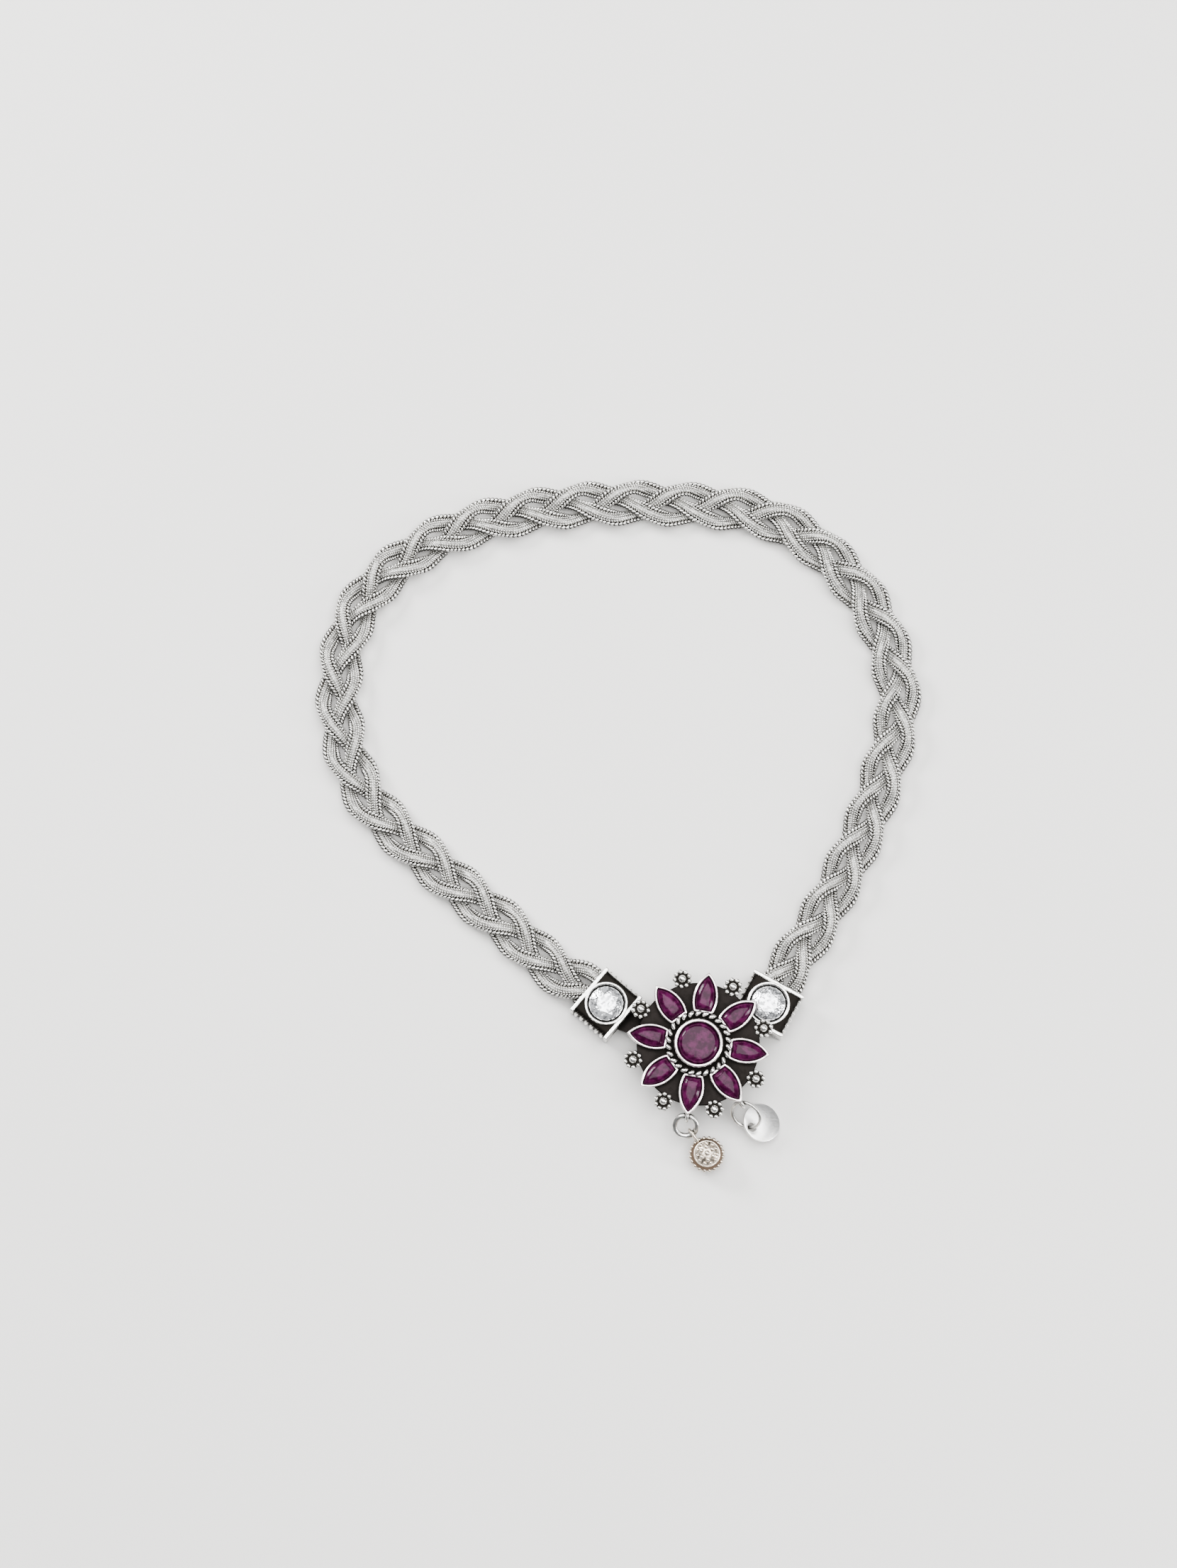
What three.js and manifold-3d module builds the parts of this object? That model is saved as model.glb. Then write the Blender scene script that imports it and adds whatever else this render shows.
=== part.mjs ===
// Payal anklet: a braid of three silver strands closed by a jewelled flower with two small drops.
// Millimetres, +Z up. The origin is on the underside of the flower, below its centre stone,
// and the loop lies towards +Y.

import * as THREE from "three";
import { ConvexGeometry } from "three/addons/geometries/ConvexGeometry.js";
import { mergeVertices } from "three/addons/utils/BufferGeometryUtils.js";
import Module from "manifold-3d";

const wasm = await Module();
wasm.setup();

// Braid
const STRAND_WIDTH = 2.5;
const STRAND_THICKNESS = 1.2;
const STRAND_EDGE = 0.4;
const STRAND_CROWN = 1.0;
const SIDE_GAP = 0.2;
const PASSING_GAP = 0.36;
const PLAIT_PITCH = 22.5;
const PLAIT_ROLL = 28;
const FLOOR_GAP = 0.05;
const SECTIONS_PER_PITCH = 12;
const BRAID_RAMP = 16;

// End caps
const CAP_LENGTH = 6.8;
const CAP_FLOOR = 0.25;
const CAP_ROOF = 0.25;
const CAP_WALL = 0.3;
const CAP_CORNER = 0.7;
const CAP_CORNER_SAG = 0.2;
const POCKET_DEPTH = 1.0;
const POCKET_CLEARANCE = 0.15;
const LEAD_IN = 2.0;
const PLATE_THICKNESS = 0.6;
const PLATE_OVERHANG = 0.35;
const PLATE_RISE = 0.3;
const RIB_HEIGHT = 0.9;
const RIB_OUTSTAND = 0.4;
const RIB_RELIEF = 0.14;
const RIB_SINK = 0.3;
const RIBS_PER_ROW = 6;
const UPPER_RIB_DROP = 0.6;
const LOWER_RIB_DROP = 1.8;

// Round stones of the caps
const CAP_STONE_DIAMETER = 4.9;
const CAP_STONE_TABLE = 2.7;
const CAP_STONE_CROWN = 0.5;
const CAP_STONE_STAR_RISE = 0.3;
const CAP_STONE_GIRDLE = 0.1;
const CAP_STONE_PAVILION = 1.1;
const CAP_STONE_BREAK_RADIUS = 1.1;
const CAP_STONE_BREAK_DEPTH = 0.65;
const CAP_STONE_FACETS = 8;
const CAP_CULET_RADIUS = 0.15;
const CAP_COLLAR_WALL = 0.55;
const CAP_COLLAR_LIP = 0.35;
const CAP_COLLAR_SIDES = 16;

// Tongues of the hidden clasp
const TONGUE_WIDTH = 3.0;
const TONGUE_THICKNESS = 0.8;
const TONGUE_UNDERSIDE = 1.2;
const TONGUE_REACH = 2.0;
const TONGUE_CLEARANCE = 0.2;

// Flower
const CALYX_BACK_DIAMETER = 9.6;
const CALYX_NECK_DIAMETER = 12.4;
const CALYX_FLARE = 0.4;
const FLOWER_CLEARANCE = 0.25;
const FLOWER_PLATE_DIAMETER = 17.4;
const FLOWER_PLATE_THICKNESS = 0.45;
const FLOWER_PLATE_EDGE = 0.3;
const PETAL_COUNT = 8;
const FIRST_PETAL_HEADING = 81;
const PETAL_INNER_RADIUS = 4.4;
const PETAL_MIDDLE_RADIUS = 6.45;
const PETAL_HALF_LENGTH = 3.75;
const PETAL_WIDTH = 3.6;
const PETAL_WALL = 0.38;
const PETAL_HEIGHT = 1.15;
const PETAL_STONE_THICKNESS = 0.8;
const PETAL_STONE_EDGE = 0.36;
const PETAL_TABLE_LENGTH = 2.4;
const PETAL_TABLE_WIDTH = 1.1;
const CENTRE_STONE_DIAMETER = 5.8;
const CENTRE_STONE_TABLE = 4.6;
const CENTRE_STONE_THICKNESS = 1.2;
const CENTRE_STONE_EDGE = 0.55;
const CENTRE_STONE_FOOT = 0.15;
const CENTRE_STONE_FACETS = 16;
const CENTRE_COLLAR_WALL = 0.45;
const CENTRE_COLLAR_HEIGHT = 1.6;
const CENTRE_COLLAR_SIDES = 28;
const ROPE_DIAMETER = 0.9;
const ROPE_NARROWING = 0.1;
const ROPE_GAP = 0.35;
const ROPE_SINK = 0.05;
const ROPE_TWISTS = 26;
const ROSETTE_OUTSTAND = 0.8;
const ROSETTE_DIAMETER = 2.8;
const ROSETTE_DISC_EDGE = 0.2;
const ROSETTE_BEAD_DIAMETER = 1.1;
const ROSETTE_BEAD_SINK = 0.25;
const ROSETTE_GRAINS = 7;
const ROSETTE_GRAIN_DIAMETER = 0.7;
const STONE_CLEARANCE = 0.1;

// Eyes, rings and drops
const EYE_DIAMETER = 1.6;
const EYE_WIRE = 0.5;
const EYE_BEHIND_TIP = 0.1;
const EYE_SINK = 0.15;
const BELL_EYE_HEADING = -99;
const DISC_EYE_HEADING = -54;
const LINK_CLEARANCE = 0.1;
const BELL_RING_DIAMETER = 3.15;
const BELL_RING_WIRE = 0.8;
const BELL_RING_PITCH = 30;
const BELL_DIAMETER = 4.5;
const BELL_HEADING = -54;
const BELL_LOOP_LENGTH = 2.4;
const BELL_LOOP_HEIGHT = 1.8;
const BELL_LOOP_WIRE = 0.44;
const BELL_GRAINS = 10;
const BELL_GRAIN_DIAMETER = 0.7;
const BELL_GRAIN_SINK = 0.1;
const DISC_RING_DIAMETER = 4.3;
const DISC_RING_WIRE = 0.5;
const DISC_RING_HEADING = -64;
const DISC_RING_PITCH = 30;
const DISC_RING_ROLL = 40;
const DISC_DIAMETER = 5.5;
const DISC_THICKNESS = 0.4;
const DISC_HOLE_DIAMETER = 1.35;
const DISC_HOLE_EDGE = 0.325;
const DISC_HEADING = 26;

// Shares of a petal's length, from its inner end to its tip, at which its outline has points
const PETAL_STATIONS = [0, 0.2, 0.42, 0.64, 0.84];

// Where the caps stand in plan: heading of the middle of the cap's front from the flower's axis,
// its gap to the calyx, and the heading in which the cap points, towards the flower
const CAPS = [
  { side: "left", frontHeading: 160.5, gap: 4.85, heading: -40.5 },
  { side: "right", frontHeading: 19.3, gap: 2.65, heading: -119 },
];

// The braid's middle line in plan, from the left cap round to the right one
const ROUTE = [
  [-20.2, 10.9], [-26.3, 16.5], [-37.7, 26.2], [-48.0, 37.0], [-51.6, 50.5], [-48.8, 64.0], [-38.8, 73.4],
  [-24.0, 78.3], [-5.0, 79.5], [12.0, 76.8], [24.0, 66.3], [29.2, 51.8], [25.8, 35.9], [18.5, 19.9],
];

const UP = new THREE.Vector3(0, 0, 1);

function radians(degrees) {
  return THREE.MathUtils.degToRad(degrees);
}

function atHeading(degrees, radius, z = 0) {
  return new THREE.Vector3(Math.cos(radians(degrees)) * radius, Math.sin(radians(degrees)) * radius, z);
}

// A closed geometry as a solid, with its shared vertices merged
function solid(geometry) {
  const bare = geometry.clone();
  bare.deleteAttribute("normal");
  bare.deleteAttribute("uv");
  const merged = mergeVertices(bare, 1e-5);
  const vertProperties = new Float32Array(merged.attributes.position.array);
  const triVerts = new Uint32Array(merged.index.array);
  return new wasm.Manifold(new wasm.Mesh({ numProp: 3, vertProperties, triVerts }));
}

function joined(solids) {
  return solids.reduce((whole, piece) => whole.add(piece));
}

function geometryOf(body) {
  const mesh = body.getMesh();
  const geometry = new THREE.BufferGeometry();
  geometry.setAttribute("position", new THREE.BufferAttribute(new Float32Array(mesh.vertProperties), 3));
  geometry.setIndex(new THREE.BufferAttribute(new Uint32Array(mesh.triVerts), 1));
  geometry.computeVertexNormals();
  return geometry;
}

// A profile of [radius, height] pairs, from the axis round to the axis, turned about Z
function turned(profile, sides) {
  const points = profile.map(([radius, height]) => new THREE.Vector2(radius, height));
  const geometry = new THREE.LatheGeometry(points, sides);
  geometry.rotateX(Math.PI / 2);
  return geometry;
}

function drum(radius, bottom, top, sides) {
  return turned([[0, bottom], [radius, bottom], [radius, top], [0, top]], sides);
}

// A flat outline of [x, y] pairs, raised from one height to another
function raised(outline, bottom, top) {
  const shape = new THREE.Shape(outline.map(([x, y]) => new THREE.Vector2(x, y)));
  const geometry = new THREE.ExtrudeGeometry(shape, { depth: top - bottom, bevelEnabled: false });
  geometry.translate(0, 0, bottom);
  return geometry;
}

// A small round grain with few faces
function grain(diameter) {
  return new THREE.IcosahedronGeometry(diameter / 2, 0);
}

// A wire bent into an oval link in the plane of X and Z, of the given middle-line length and height
function linkInXZ(length, height, wire) {
  const circle = new THREE.TorusGeometry(length / 2, wire / 2, 6, 16);
  const position = circle.attributes.position;
  for (let index = 0; index < position.count; index += 1) {
    const x = position.getX(index);
    const y = position.getY(index);
    const reach = Math.hypot(x, y);
    const offset = reach - length / 2;
    const alongX = (x / reach) * (length / 2 + offset);
    const alongY = (y / reach) * (height / 2 + offset);
    position.setXY(index, alongX, alongY);
  }
  circle.rotateX(Math.PI / 2);
  return circle;
}

// A stone of flat rings of points, each ring { radius, z, turn }, with its facets between them
function facetedStone(rings, sides) {
  const points = [];
  for (const { radius, z, turn = 0, count = sides } of rings) {
    for (let index = 0; index < count; index += 1) {
      const angle = ((index + turn) * 2 * Math.PI) / count;
      points.push(new THREE.Vector3(Math.cos(angle) * radius, Math.sin(angle) * radius, z));
    }
  }
  return new ConvexGeometry(points);
}

// Plait: how far a strand swings to each side, and how far it rises and falls. A strand that runs
// aslant is a little wider across the braid, and straight facets between stations cut its waves short
const PLAIT_STRETCH = 1.08;
const FACET_SHARE = Math.cos(Math.PI / SECTIONS_PER_PITCH);
const THIRD_TURN = 2 * Math.sin(radians(60));
const EIGHTH_TURN = Math.cos(radians(45));
const PASSING_WIDTH = STRAND_WIDTH * PLAIT_STRETCH * Math.cos(radians(PLAIT_ROLL * EIGHTH_TURN));
const SWING = (PASSING_WIDTH + SIDE_GAP) / (THIRD_TURN * EIGHTH_TURN);
const LIFT = (STRAND_THICKNESS + PASSING_GAP) / (THIRD_TURN * FACET_SHARE);

// How far a rolled strand reaches from its middle line, sideways or up
function strandReach(degrees) {
  const cosine = Math.cos(radians(degrees));
  const sine = Math.sin(radians(degrees));
  const edgeUp = (STRAND_WIDTH * sine + STRAND_EDGE * cosine) / 2;
  const crownUp = (STRAND_CROWN * sine + STRAND_THICKNESS * cosine) / 2;
  const across = ((STRAND_WIDTH * cosine + STRAND_EDGE * sine) / 2) * PLAIT_STRETCH;
  return { across, up: Math.max(edgeUp, crownUp) };
}

const BRAID_HALF_HEIGHT = LIFT + strandReach(PLAIT_ROLL * EIGHTH_TURN).up;

// End cap sizes that follow from the braid's end, where the strands lie side by side
const END_REACH = strandReach(PLAIT_ROLL);
const POCKET_HALF_WIDTH = (SWING * THIRD_TURN) / 2 + END_REACH.across + POCKET_CLEARANCE;
const POCKET_HALF_HEIGHT = (LIFT * THIRD_TURN) / 2 + END_REACH.up + POCKET_CLEARANCE;
const POCKET_MIDDLE = CAP_FLOOR + POCKET_HALF_HEIGHT;
const CAP_HALF_WIDTH = POCKET_HALF_WIDTH + CAP_WALL;
const CAP_HEIGHT = POCKET_MIDDLE + POCKET_HALF_HEIGHT + CAP_ROOF;
const PLATE_HEIGHT = CAP_HEIGHT + PLATE_RISE;
const CAP_STONE_GIRDLE_Z = CAP_HEIGHT + CAP_STONE_GIRDLE;
const CAP_COLLAR_TOP = CAP_STONE_GIRDLE_Z + CAP_COLLAR_LIP;
const CAP_TOP = CAP_STONE_GIRDLE_Z + CAP_STONE_CROWN;

// Flower heights: its plate passes over the caps
const PLATE_UNDERSIDE = CAP_TOP + FLOWER_CLEARANCE;
const PLATE_TOP = PLATE_UNDERSIDE + FLOWER_PLATE_THICKNESS;
const CENTRE_STONE_RADIUS = CENTRE_STONE_DIAMETER / 2;
const CENTRE_COLLAR_RADIUS = CENTRE_STONE_RADIUS + STONE_CLEARANCE + CENTRE_COLLAR_WALL;
const ROPE_RADIUS = CENTRE_COLLAR_RADIUS + ROPE_GAP + ROPE_DIAMETER / 2;
const PETAL_TIP_RADIUS = PETAL_MIDDLE_RADIUS + PETAL_HALF_LENGTH;
const ROSETTE_RADIUS_FROM_CENTRE = FLOWER_PLATE_DIAMETER / 2 + ROSETTE_OUTSTAND;

// One cap's frame in plan: the middle of its front, its direction, and the braid's end in its pocket
function capPlace({ frontHeading, gap, heading }) {
  const front = atHeading(frontHeading, CALYX_NECK_DIAMETER / 2 + gap);
  const direction = atHeading(heading, 1);
  const centre = front.clone().addScaledVector(direction, -CAP_LENGTH / 2);
  const pocketEnd = front.clone().addScaledVector(direction, POCKET_DEPTH - CAP_LENGTH - POCKET_CLEARANCE);
  const leadIn = pocketEnd.clone().addScaledVector(direction, -LEAD_IN);
  return { front, direction, centre, pocketEnd, leadIn };
}

const [LEFT_CAP, RIGHT_CAP] = CAPS.map(capPlace);

const braidLine = new THREE.CatmullRomCurve3(
  [
    LEFT_CAP.pocketEnd,
    LEFT_CAP.leadIn,
    ...ROUTE.map(([x, y]) => new THREE.Vector3(x, y, 0)),
    RIGHT_CAP.leadIn,
    RIGHT_CAP.pocketEnd,
  ],
  false,
  "centripetal",
);
braidLine.arcLengthDivisions = 800;

// The braid's middle height: on the floor along the loop, rising to the pockets at both ends
function braidHeight(fromStart, length) {
  const fromEnd = Math.min(fromStart, length - fromStart);
  const rest = BRAID_HALF_HEIGHT + FLOOR_GAP;
  const share = THREE.MathUtils.smoothstep(fromEnd, 0, BRAID_RAMP);
  return THREE.MathUtils.lerp(Math.max(POCKET_MIDDLE, rest), rest, share);
}

// One strand of the plait: a flat section swept along the middle line while it swings, rises and rolls
function braidStrand(turnShare) {
  const length = braidLine.getLength();
  const sixths = Math.round(length / (PLAIT_PITCH / 6));
  const halfWidth = STRAND_WIDTH / 2;
  const halfEdge = STRAND_EDGE / 2;
  const halfCrown = STRAND_CROWN / 2;
  const halfThickness = STRAND_THICKNESS / 2;
  const outline = [
    [halfWidth, -halfEdge],
    [halfWidth, halfEdge],
    [halfCrown, halfThickness],
    [-halfCrown, halfThickness],
    [-halfWidth, halfEdge],
    [-halfWidth, -halfEdge],
    [-halfCrown, -halfThickness],
    [halfCrown, -halfThickness],
  ];
  const shape = new THREE.Shape(outline.map(([x, y]) => new THREE.Vector2(x, y)));
  const steps = Math.round((sixths * SECTIONS_PER_PITCH) / 6);
  const geometry = new THREE.ExtrudeGeometry(shape, { depth: 1, steps, bevelEnabled: false });
  const position = geometry.attributes.position;
  const slope = (SWING * sixths * Math.PI) / (3 * length);
  for (let index = 0; index < position.count; index += 1) {
    const along = THREE.MathUtils.clamp(position.getZ(index), 0, 1);
    const phase = (sixths * Math.PI * along) / 3 + turnShare * 2 * Math.PI;
    const point = braidLine.getPointAt(along);
    const ahead = braidLine.getTangentAt(along);
    const sideways = new THREE.Vector3().crossVectors(UP, ahead).normalize();
    const roll = radians(PLAIT_ROLL) * Math.cos(3 * phase);
    const stretch = Math.hypot(1, slope * Math.cos(phase));
    const across = position.getX(index) * Math.cos(roll) - position.getY(index) * Math.sin(roll);
    const above = position.getX(index) * Math.sin(roll) + position.getY(index) * Math.cos(roll);
    point.addScaledVector(sideways, SWING * Math.sin(phase) + across * stretch);
    point.z = braidHeight(along * length, length) + LIFT * Math.sin(2 * phase) + above;
    position.setXYZ(index, point.x, point.y, point.z);
  }
  return geometry;
}

// A row of upright ribs between the end plates, on the cap's side towards +X
function ribRow(middle) {
  const length = CAP_LENGTH - 2 * PLATE_THICKNESS;
  const pitch = length / RIBS_PER_ROW;
  const root = CAP_HALF_WIDTH - RIB_SINK;
  const crest = CAP_HALF_WIDTH + RIB_OUTSTAND;
  const valley = crest - RIB_RELIEF;
  const outline = [[root, -length / 2]];
  for (let index = 0; index < RIBS_PER_ROW; index += 1) {
    const start = index * pitch - length / 2;
    outline.push([valley, start], [crest, start + pitch / 2]);
  }
  outline.push([valley, length / 2], [root, length / 2]);
  return raised(outline, middle - RIB_HEIGHT / 2, middle + RIB_HEIGHT / 2);
}

// The slot for a tongue runs from the cap's front, with clearance on all its sides
function endCap() {
  const back = -CAP_LENGTH / 2;
  const front = CAP_LENGTH / 2;
  const rounded = CAP_HEIGHT - CAP_CORNER;
  const bevelled = CAP_HALF_WIDTH - CAP_CORNER;
  const section = [
    [-CAP_HALF_WIDTH, 0],
    [CAP_HALF_WIDTH, 0],
    [CAP_HALF_WIDTH, rounded],
    [CAP_HALF_WIDTH - CAP_CORNER_SAG, CAP_HEIGHT - CAP_CORNER_SAG],
    [bevelled, CAP_HEIGHT],
    [-bevelled, CAP_HEIGHT],
    [CAP_CORNER_SAG - CAP_HALF_WIDTH, CAP_HEIGHT - CAP_CORNER_SAG],
    [-CAP_HALF_WIDTH, rounded],
  ];
  const barrel = raised(section, back, front);
  barrel.rotateX(Math.PI / 2);
  const solids = [solid(barrel)];

  const plateHalfWidth = CAP_HALF_WIDTH + PLATE_OVERHANG;
  for (const start of [back, front - PLATE_THICKNESS]) {
    const plate = new THREE.BoxGeometry(2 * plateHalfWidth, PLATE_THICKNESS, PLATE_HEIGHT);
    plate.translate(0, start + PLATE_THICKNESS / 2, PLATE_HEIGHT / 2);
    solids.push(solid(plate));
  }

  for (const drop of [UPPER_RIB_DROP, LOWER_RIB_DROP]) {
    solids.push(solid(ribRow(CAP_HEIGHT - drop)));
    solids.push(solid(ribRow(CAP_HEIGHT - drop).rotateZ(Math.PI)));
  }

  const stoneRadius = CAP_STONE_DIAMETER / 2;
  const seatRadius = stoneRadius + STONE_CLEARANCE;
  const collarRadius = seatRadius + CAP_COLLAR_WALL;
  const collarFoot = CAP_HEIGHT - CAP_ROOF;
  const collar = drum(collarRadius, collarFoot, CAP_COLLAR_TOP, CAP_COLLAR_SIDES);
  solids.push(solid(collar));

  const seatShoulder = CAP_STONE_GIRDLE_Z - CAP_STONE_GIRDLE - STONE_CLEARANCE;
  const seatBottom = seatShoulder - CAP_STONE_PAVILION;
  const above = CAP_COLLAR_TOP + 1;
  const seatProfile = [
    [0, seatBottom],
    [CAP_CULET_RADIUS + STONE_CLEARANCE, seatBottom],
    [seatRadius, seatShoulder],
    [seatRadius, above],
    [0, above],
  ];
  const seat = turned(seatProfile, CAP_COLLAR_SIDES);

  const pocket = new THREE.BoxGeometry(2 * POCKET_HALF_WIDTH, 2 * POCKET_DEPTH, 2 * POCKET_HALF_HEIGHT);
  pocket.translate(0, back, POCKET_MIDDLE);
  const slotDepth = TONGUE_REACH + TONGUE_CLEARANCE;
  const slot = new THREE.BoxGeometry(
    TONGUE_WIDTH + 2 * TONGUE_CLEARANCE,
    2 * slotDepth,
    TONGUE_THICKNESS + 2 * TONGUE_CLEARANCE,
  );
  slot.translate(0, front, TONGUE_UNDERSIDE + TONGUE_THICKNESS / 2);
  return joined(solids).subtract(solid(seat)).subtract(solid(pocket)).subtract(solid(slot));
}

function capStone() {
  const radius = CAP_STONE_DIAMETER / 2;
  const tableRadius = CAP_STONE_TABLE / 2;
  const rings = [
    { radius: tableRadius, z: CAP_STONE_CROWN },
    { radius: (radius + tableRadius) / 2, z: CAP_STONE_STAR_RISE, turn: 0.5 },
    { radius, z: 0, count: 2 * CAP_STONE_FACETS },
    { radius, z: -CAP_STONE_GIRDLE, count: 2 * CAP_STONE_FACETS },
    { radius: CAP_STONE_BREAK_RADIUS, z: -CAP_STONE_BREAK_DEPTH },
    { radius: CAP_CULET_RADIUS, z: -CAP_STONE_PAVILION },
  ];
  return facetedStone(rings, CAP_STONE_FACETS);
}

// A petal's outline along +X: two arcs that meet in a point at the tip, cut square at the inner end,
// the whole drawn inwards by an inset
function petalOutline(inset) {
  const halfWidth = PETAL_WIDTH / 2;
  const arcRadius = (PETAL_HALF_LENGTH ** 2 + halfWidth ** 2) / PETAL_WIDTH;
  const arcCentre = arcRadius - halfWidth;
  const start = PETAL_INNER_RADIUS + inset;
  const tip = PETAL_MIDDLE_RADIUS + Math.sqrt((arcRadius - inset) ** 2 - arcCentre ** 2);
  const side = PETAL_STATIONS.map((share) => {
    const x = start + share * (tip - start);
    return [x, Math.sqrt((arcRadius - inset) ** 2 - (x - PETAL_MIDDLE_RADIUS) ** 2) - arcCentre];
  });
  const right = side.map(([x, y]) => [x, -y]);
  return [...right, [tip, 0], ...side.reverse()];
}

function petalCollar() {
  const wall = solid(raised(petalOutline(0), PLATE_UNDERSIDE, PLATE_UNDERSIDE + PETAL_HEIGHT));
  const recess = solid(raised(petalOutline(PETAL_WALL), PLATE_TOP, PLATE_UNDERSIDE + PETAL_HEIGHT + 1));
  return wall.subtract(recess);
}

// A leaf-shaped stone with a table, a ring of crown facets and a flat back, its back at height 0
function petalStone() {
  const girdle = petalOutline(PETAL_WALL + STONE_CLEARANCE);
  const tipX = Math.max(...girdle.map(([x]) => x));
  const innerX = Math.min(...girdle.map(([x]) => x));
  const middleX = (tipX + innerX) / 2;
  const lengthShare = PETAL_TABLE_LENGTH / (tipX - innerX);
  const widthShare = PETAL_TABLE_WIDTH / PETAL_WIDTH;
  const points = [];
  for (const [x, y] of girdle) {
    const tableX = middleX + (x - middleX) * lengthShare;
    points.push(new THREE.Vector3(x, y, 0));
    points.push(new THREE.Vector3(x, y, PETAL_STONE_EDGE));
    points.push(new THREE.Vector3(tableX, y * widthShare, PETAL_STONE_THICKNESS));
  }
  return new ConvexGeometry(points);
}

function centreStone() {
  const radius = CENTRE_STONE_RADIUS;
  const rings = [
    { radius: radius - CENTRE_STONE_FOOT, z: 0 },
    { radius, z: CENTRE_STONE_FOOT },
    { radius, z: CENTRE_STONE_THICKNESS - CENTRE_STONE_EDGE },
    { radius: CENTRE_STONE_TABLE / 2, z: CENTRE_STONE_THICKNESS },
  ];
  return facetedStone(rings, CENTRE_STONE_FACETS);
}

// A ring of two twisted wires: its section is an oval that turns a quarter from one station to the next
function ropeRing() {
  const stations = 2 * ROPE_TWISTS;
  const ring = new THREE.TorusGeometry(ROPE_RADIUS, ROPE_DIAMETER / 2, 5, stations);
  const narrow = 1 - (2 * ROPE_NARROWING) / ROPE_DIAMETER;
  const position = ring.attributes.position;
  for (let index = 0; index < position.count; index += 1) {
    const x = position.getX(index);
    const y = position.getY(index);
    const heading = Math.atan2(y, x);
    const station = Math.round((heading * stations) / (2 * Math.PI));
    const reach = Math.hypot(x, y) - ROPE_RADIUS;
    const [wide, high] = station % 2 === 0 ? [1, narrow] : [narrow, 1];
    const radius = ROPE_RADIUS + reach * wide;
    position.setXY(index, Math.cos(heading) * radius, Math.sin(heading) * radius);
    position.setZ(index, position.getZ(index) * high);
  }
  ring.translate(0, 0, PLATE_TOP + ROPE_DIAMETER / 2 - ROPE_SINK);
  return ring;
}

function rosette(heading) {
  const discRadius = ROSETTE_DIAMETER / 2 - ROSETTE_DISC_EDGE;
  const place = atHeading(heading, ROSETTE_RADIUS_FROM_CENTRE);
  const disc = drum(discRadius, PLATE_UNDERSIDE, PLATE_TOP, 10);
  const middle = new THREE.SphereGeometry(ROSETTE_BEAD_DIAMETER / 2, 10, 4);
  middle.rotateX(Math.PI / 2);
  middle.translate(0, 0, PLATE_TOP + ROSETTE_BEAD_DIAMETER / 2 - ROSETTE_BEAD_SINK);
  const solids = [solid(disc), solid(middle)];
  const grainRadius = (ROSETTE_DIAMETER - ROSETTE_GRAIN_DIAMETER) / 2;
  for (let index = 0; index < ROSETTE_GRAINS; index += 1) {
    const bead = grain(ROSETTE_GRAIN_DIAMETER);
    const spot = atHeading(heading + (index * 360) / ROSETTE_GRAINS, grainRadius);
    bead.translate(spot.x, spot.y, PLATE_TOP);
    solids.push(solid(bead));
  }
  return joined(solids).translate([place.x, place.y, 0]);
}

// The eye that a drop's ring hangs in: a small upright ring soldered under the tip of a petal
const EYE_RADIUS_FROM_CENTRE = PETAL_TIP_RADIUS - EYE_BEHIND_TIP;
const EYE_Z = PLATE_UNDERSIDE - EYE_DIAMETER / 2 + EYE_SINK;

function eye(heading) {
  const ring = linkInXZ(EYE_DIAMETER, EYE_DIAMETER, EYE_WIRE);
  ring.rotateZ(radians(heading));
  const place = atHeading(heading, EYE_RADIUS_FROM_CENTRE, EYE_Z);
  ring.translate(place.x, place.y, place.z);
  return ring;
}

// A tongue lies along its cap's slot and bends in plan to the calyx
function tongue({ front, direction }) {
  const across = new THREE.Vector3().crossVectors(UP, direction).multiplyScalar(TONGUE_WIDTH / 2);
  const tip = front.clone().addScaledVector(direction, -TONGUE_REACH);
  const elbow = front.clone().addScaledVector(direction, TONGUE_CLEARANCE);
  const root = front.clone().setLength(CALYX_BACK_DIAMETER / 4);
  const rootAcross = root.clone().normalize().multiplyScalar(-TONGUE_WIDTH / 2).cross(UP).negate();
  const outline = [
    tip.clone().sub(across),
    elbow.clone().sub(across),
    root.clone().sub(rootAcross),
    root.clone().add(rootAcross),
    elbow.clone().add(across),
    tip.clone().add(across),
  ];
  return raised(
    outline.map(({ x, y }) => [x, y]),
    TONGUE_UNDERSIDE,
    TONGUE_UNDERSIDE + TONGUE_THICKNESS,
  );
}

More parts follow.
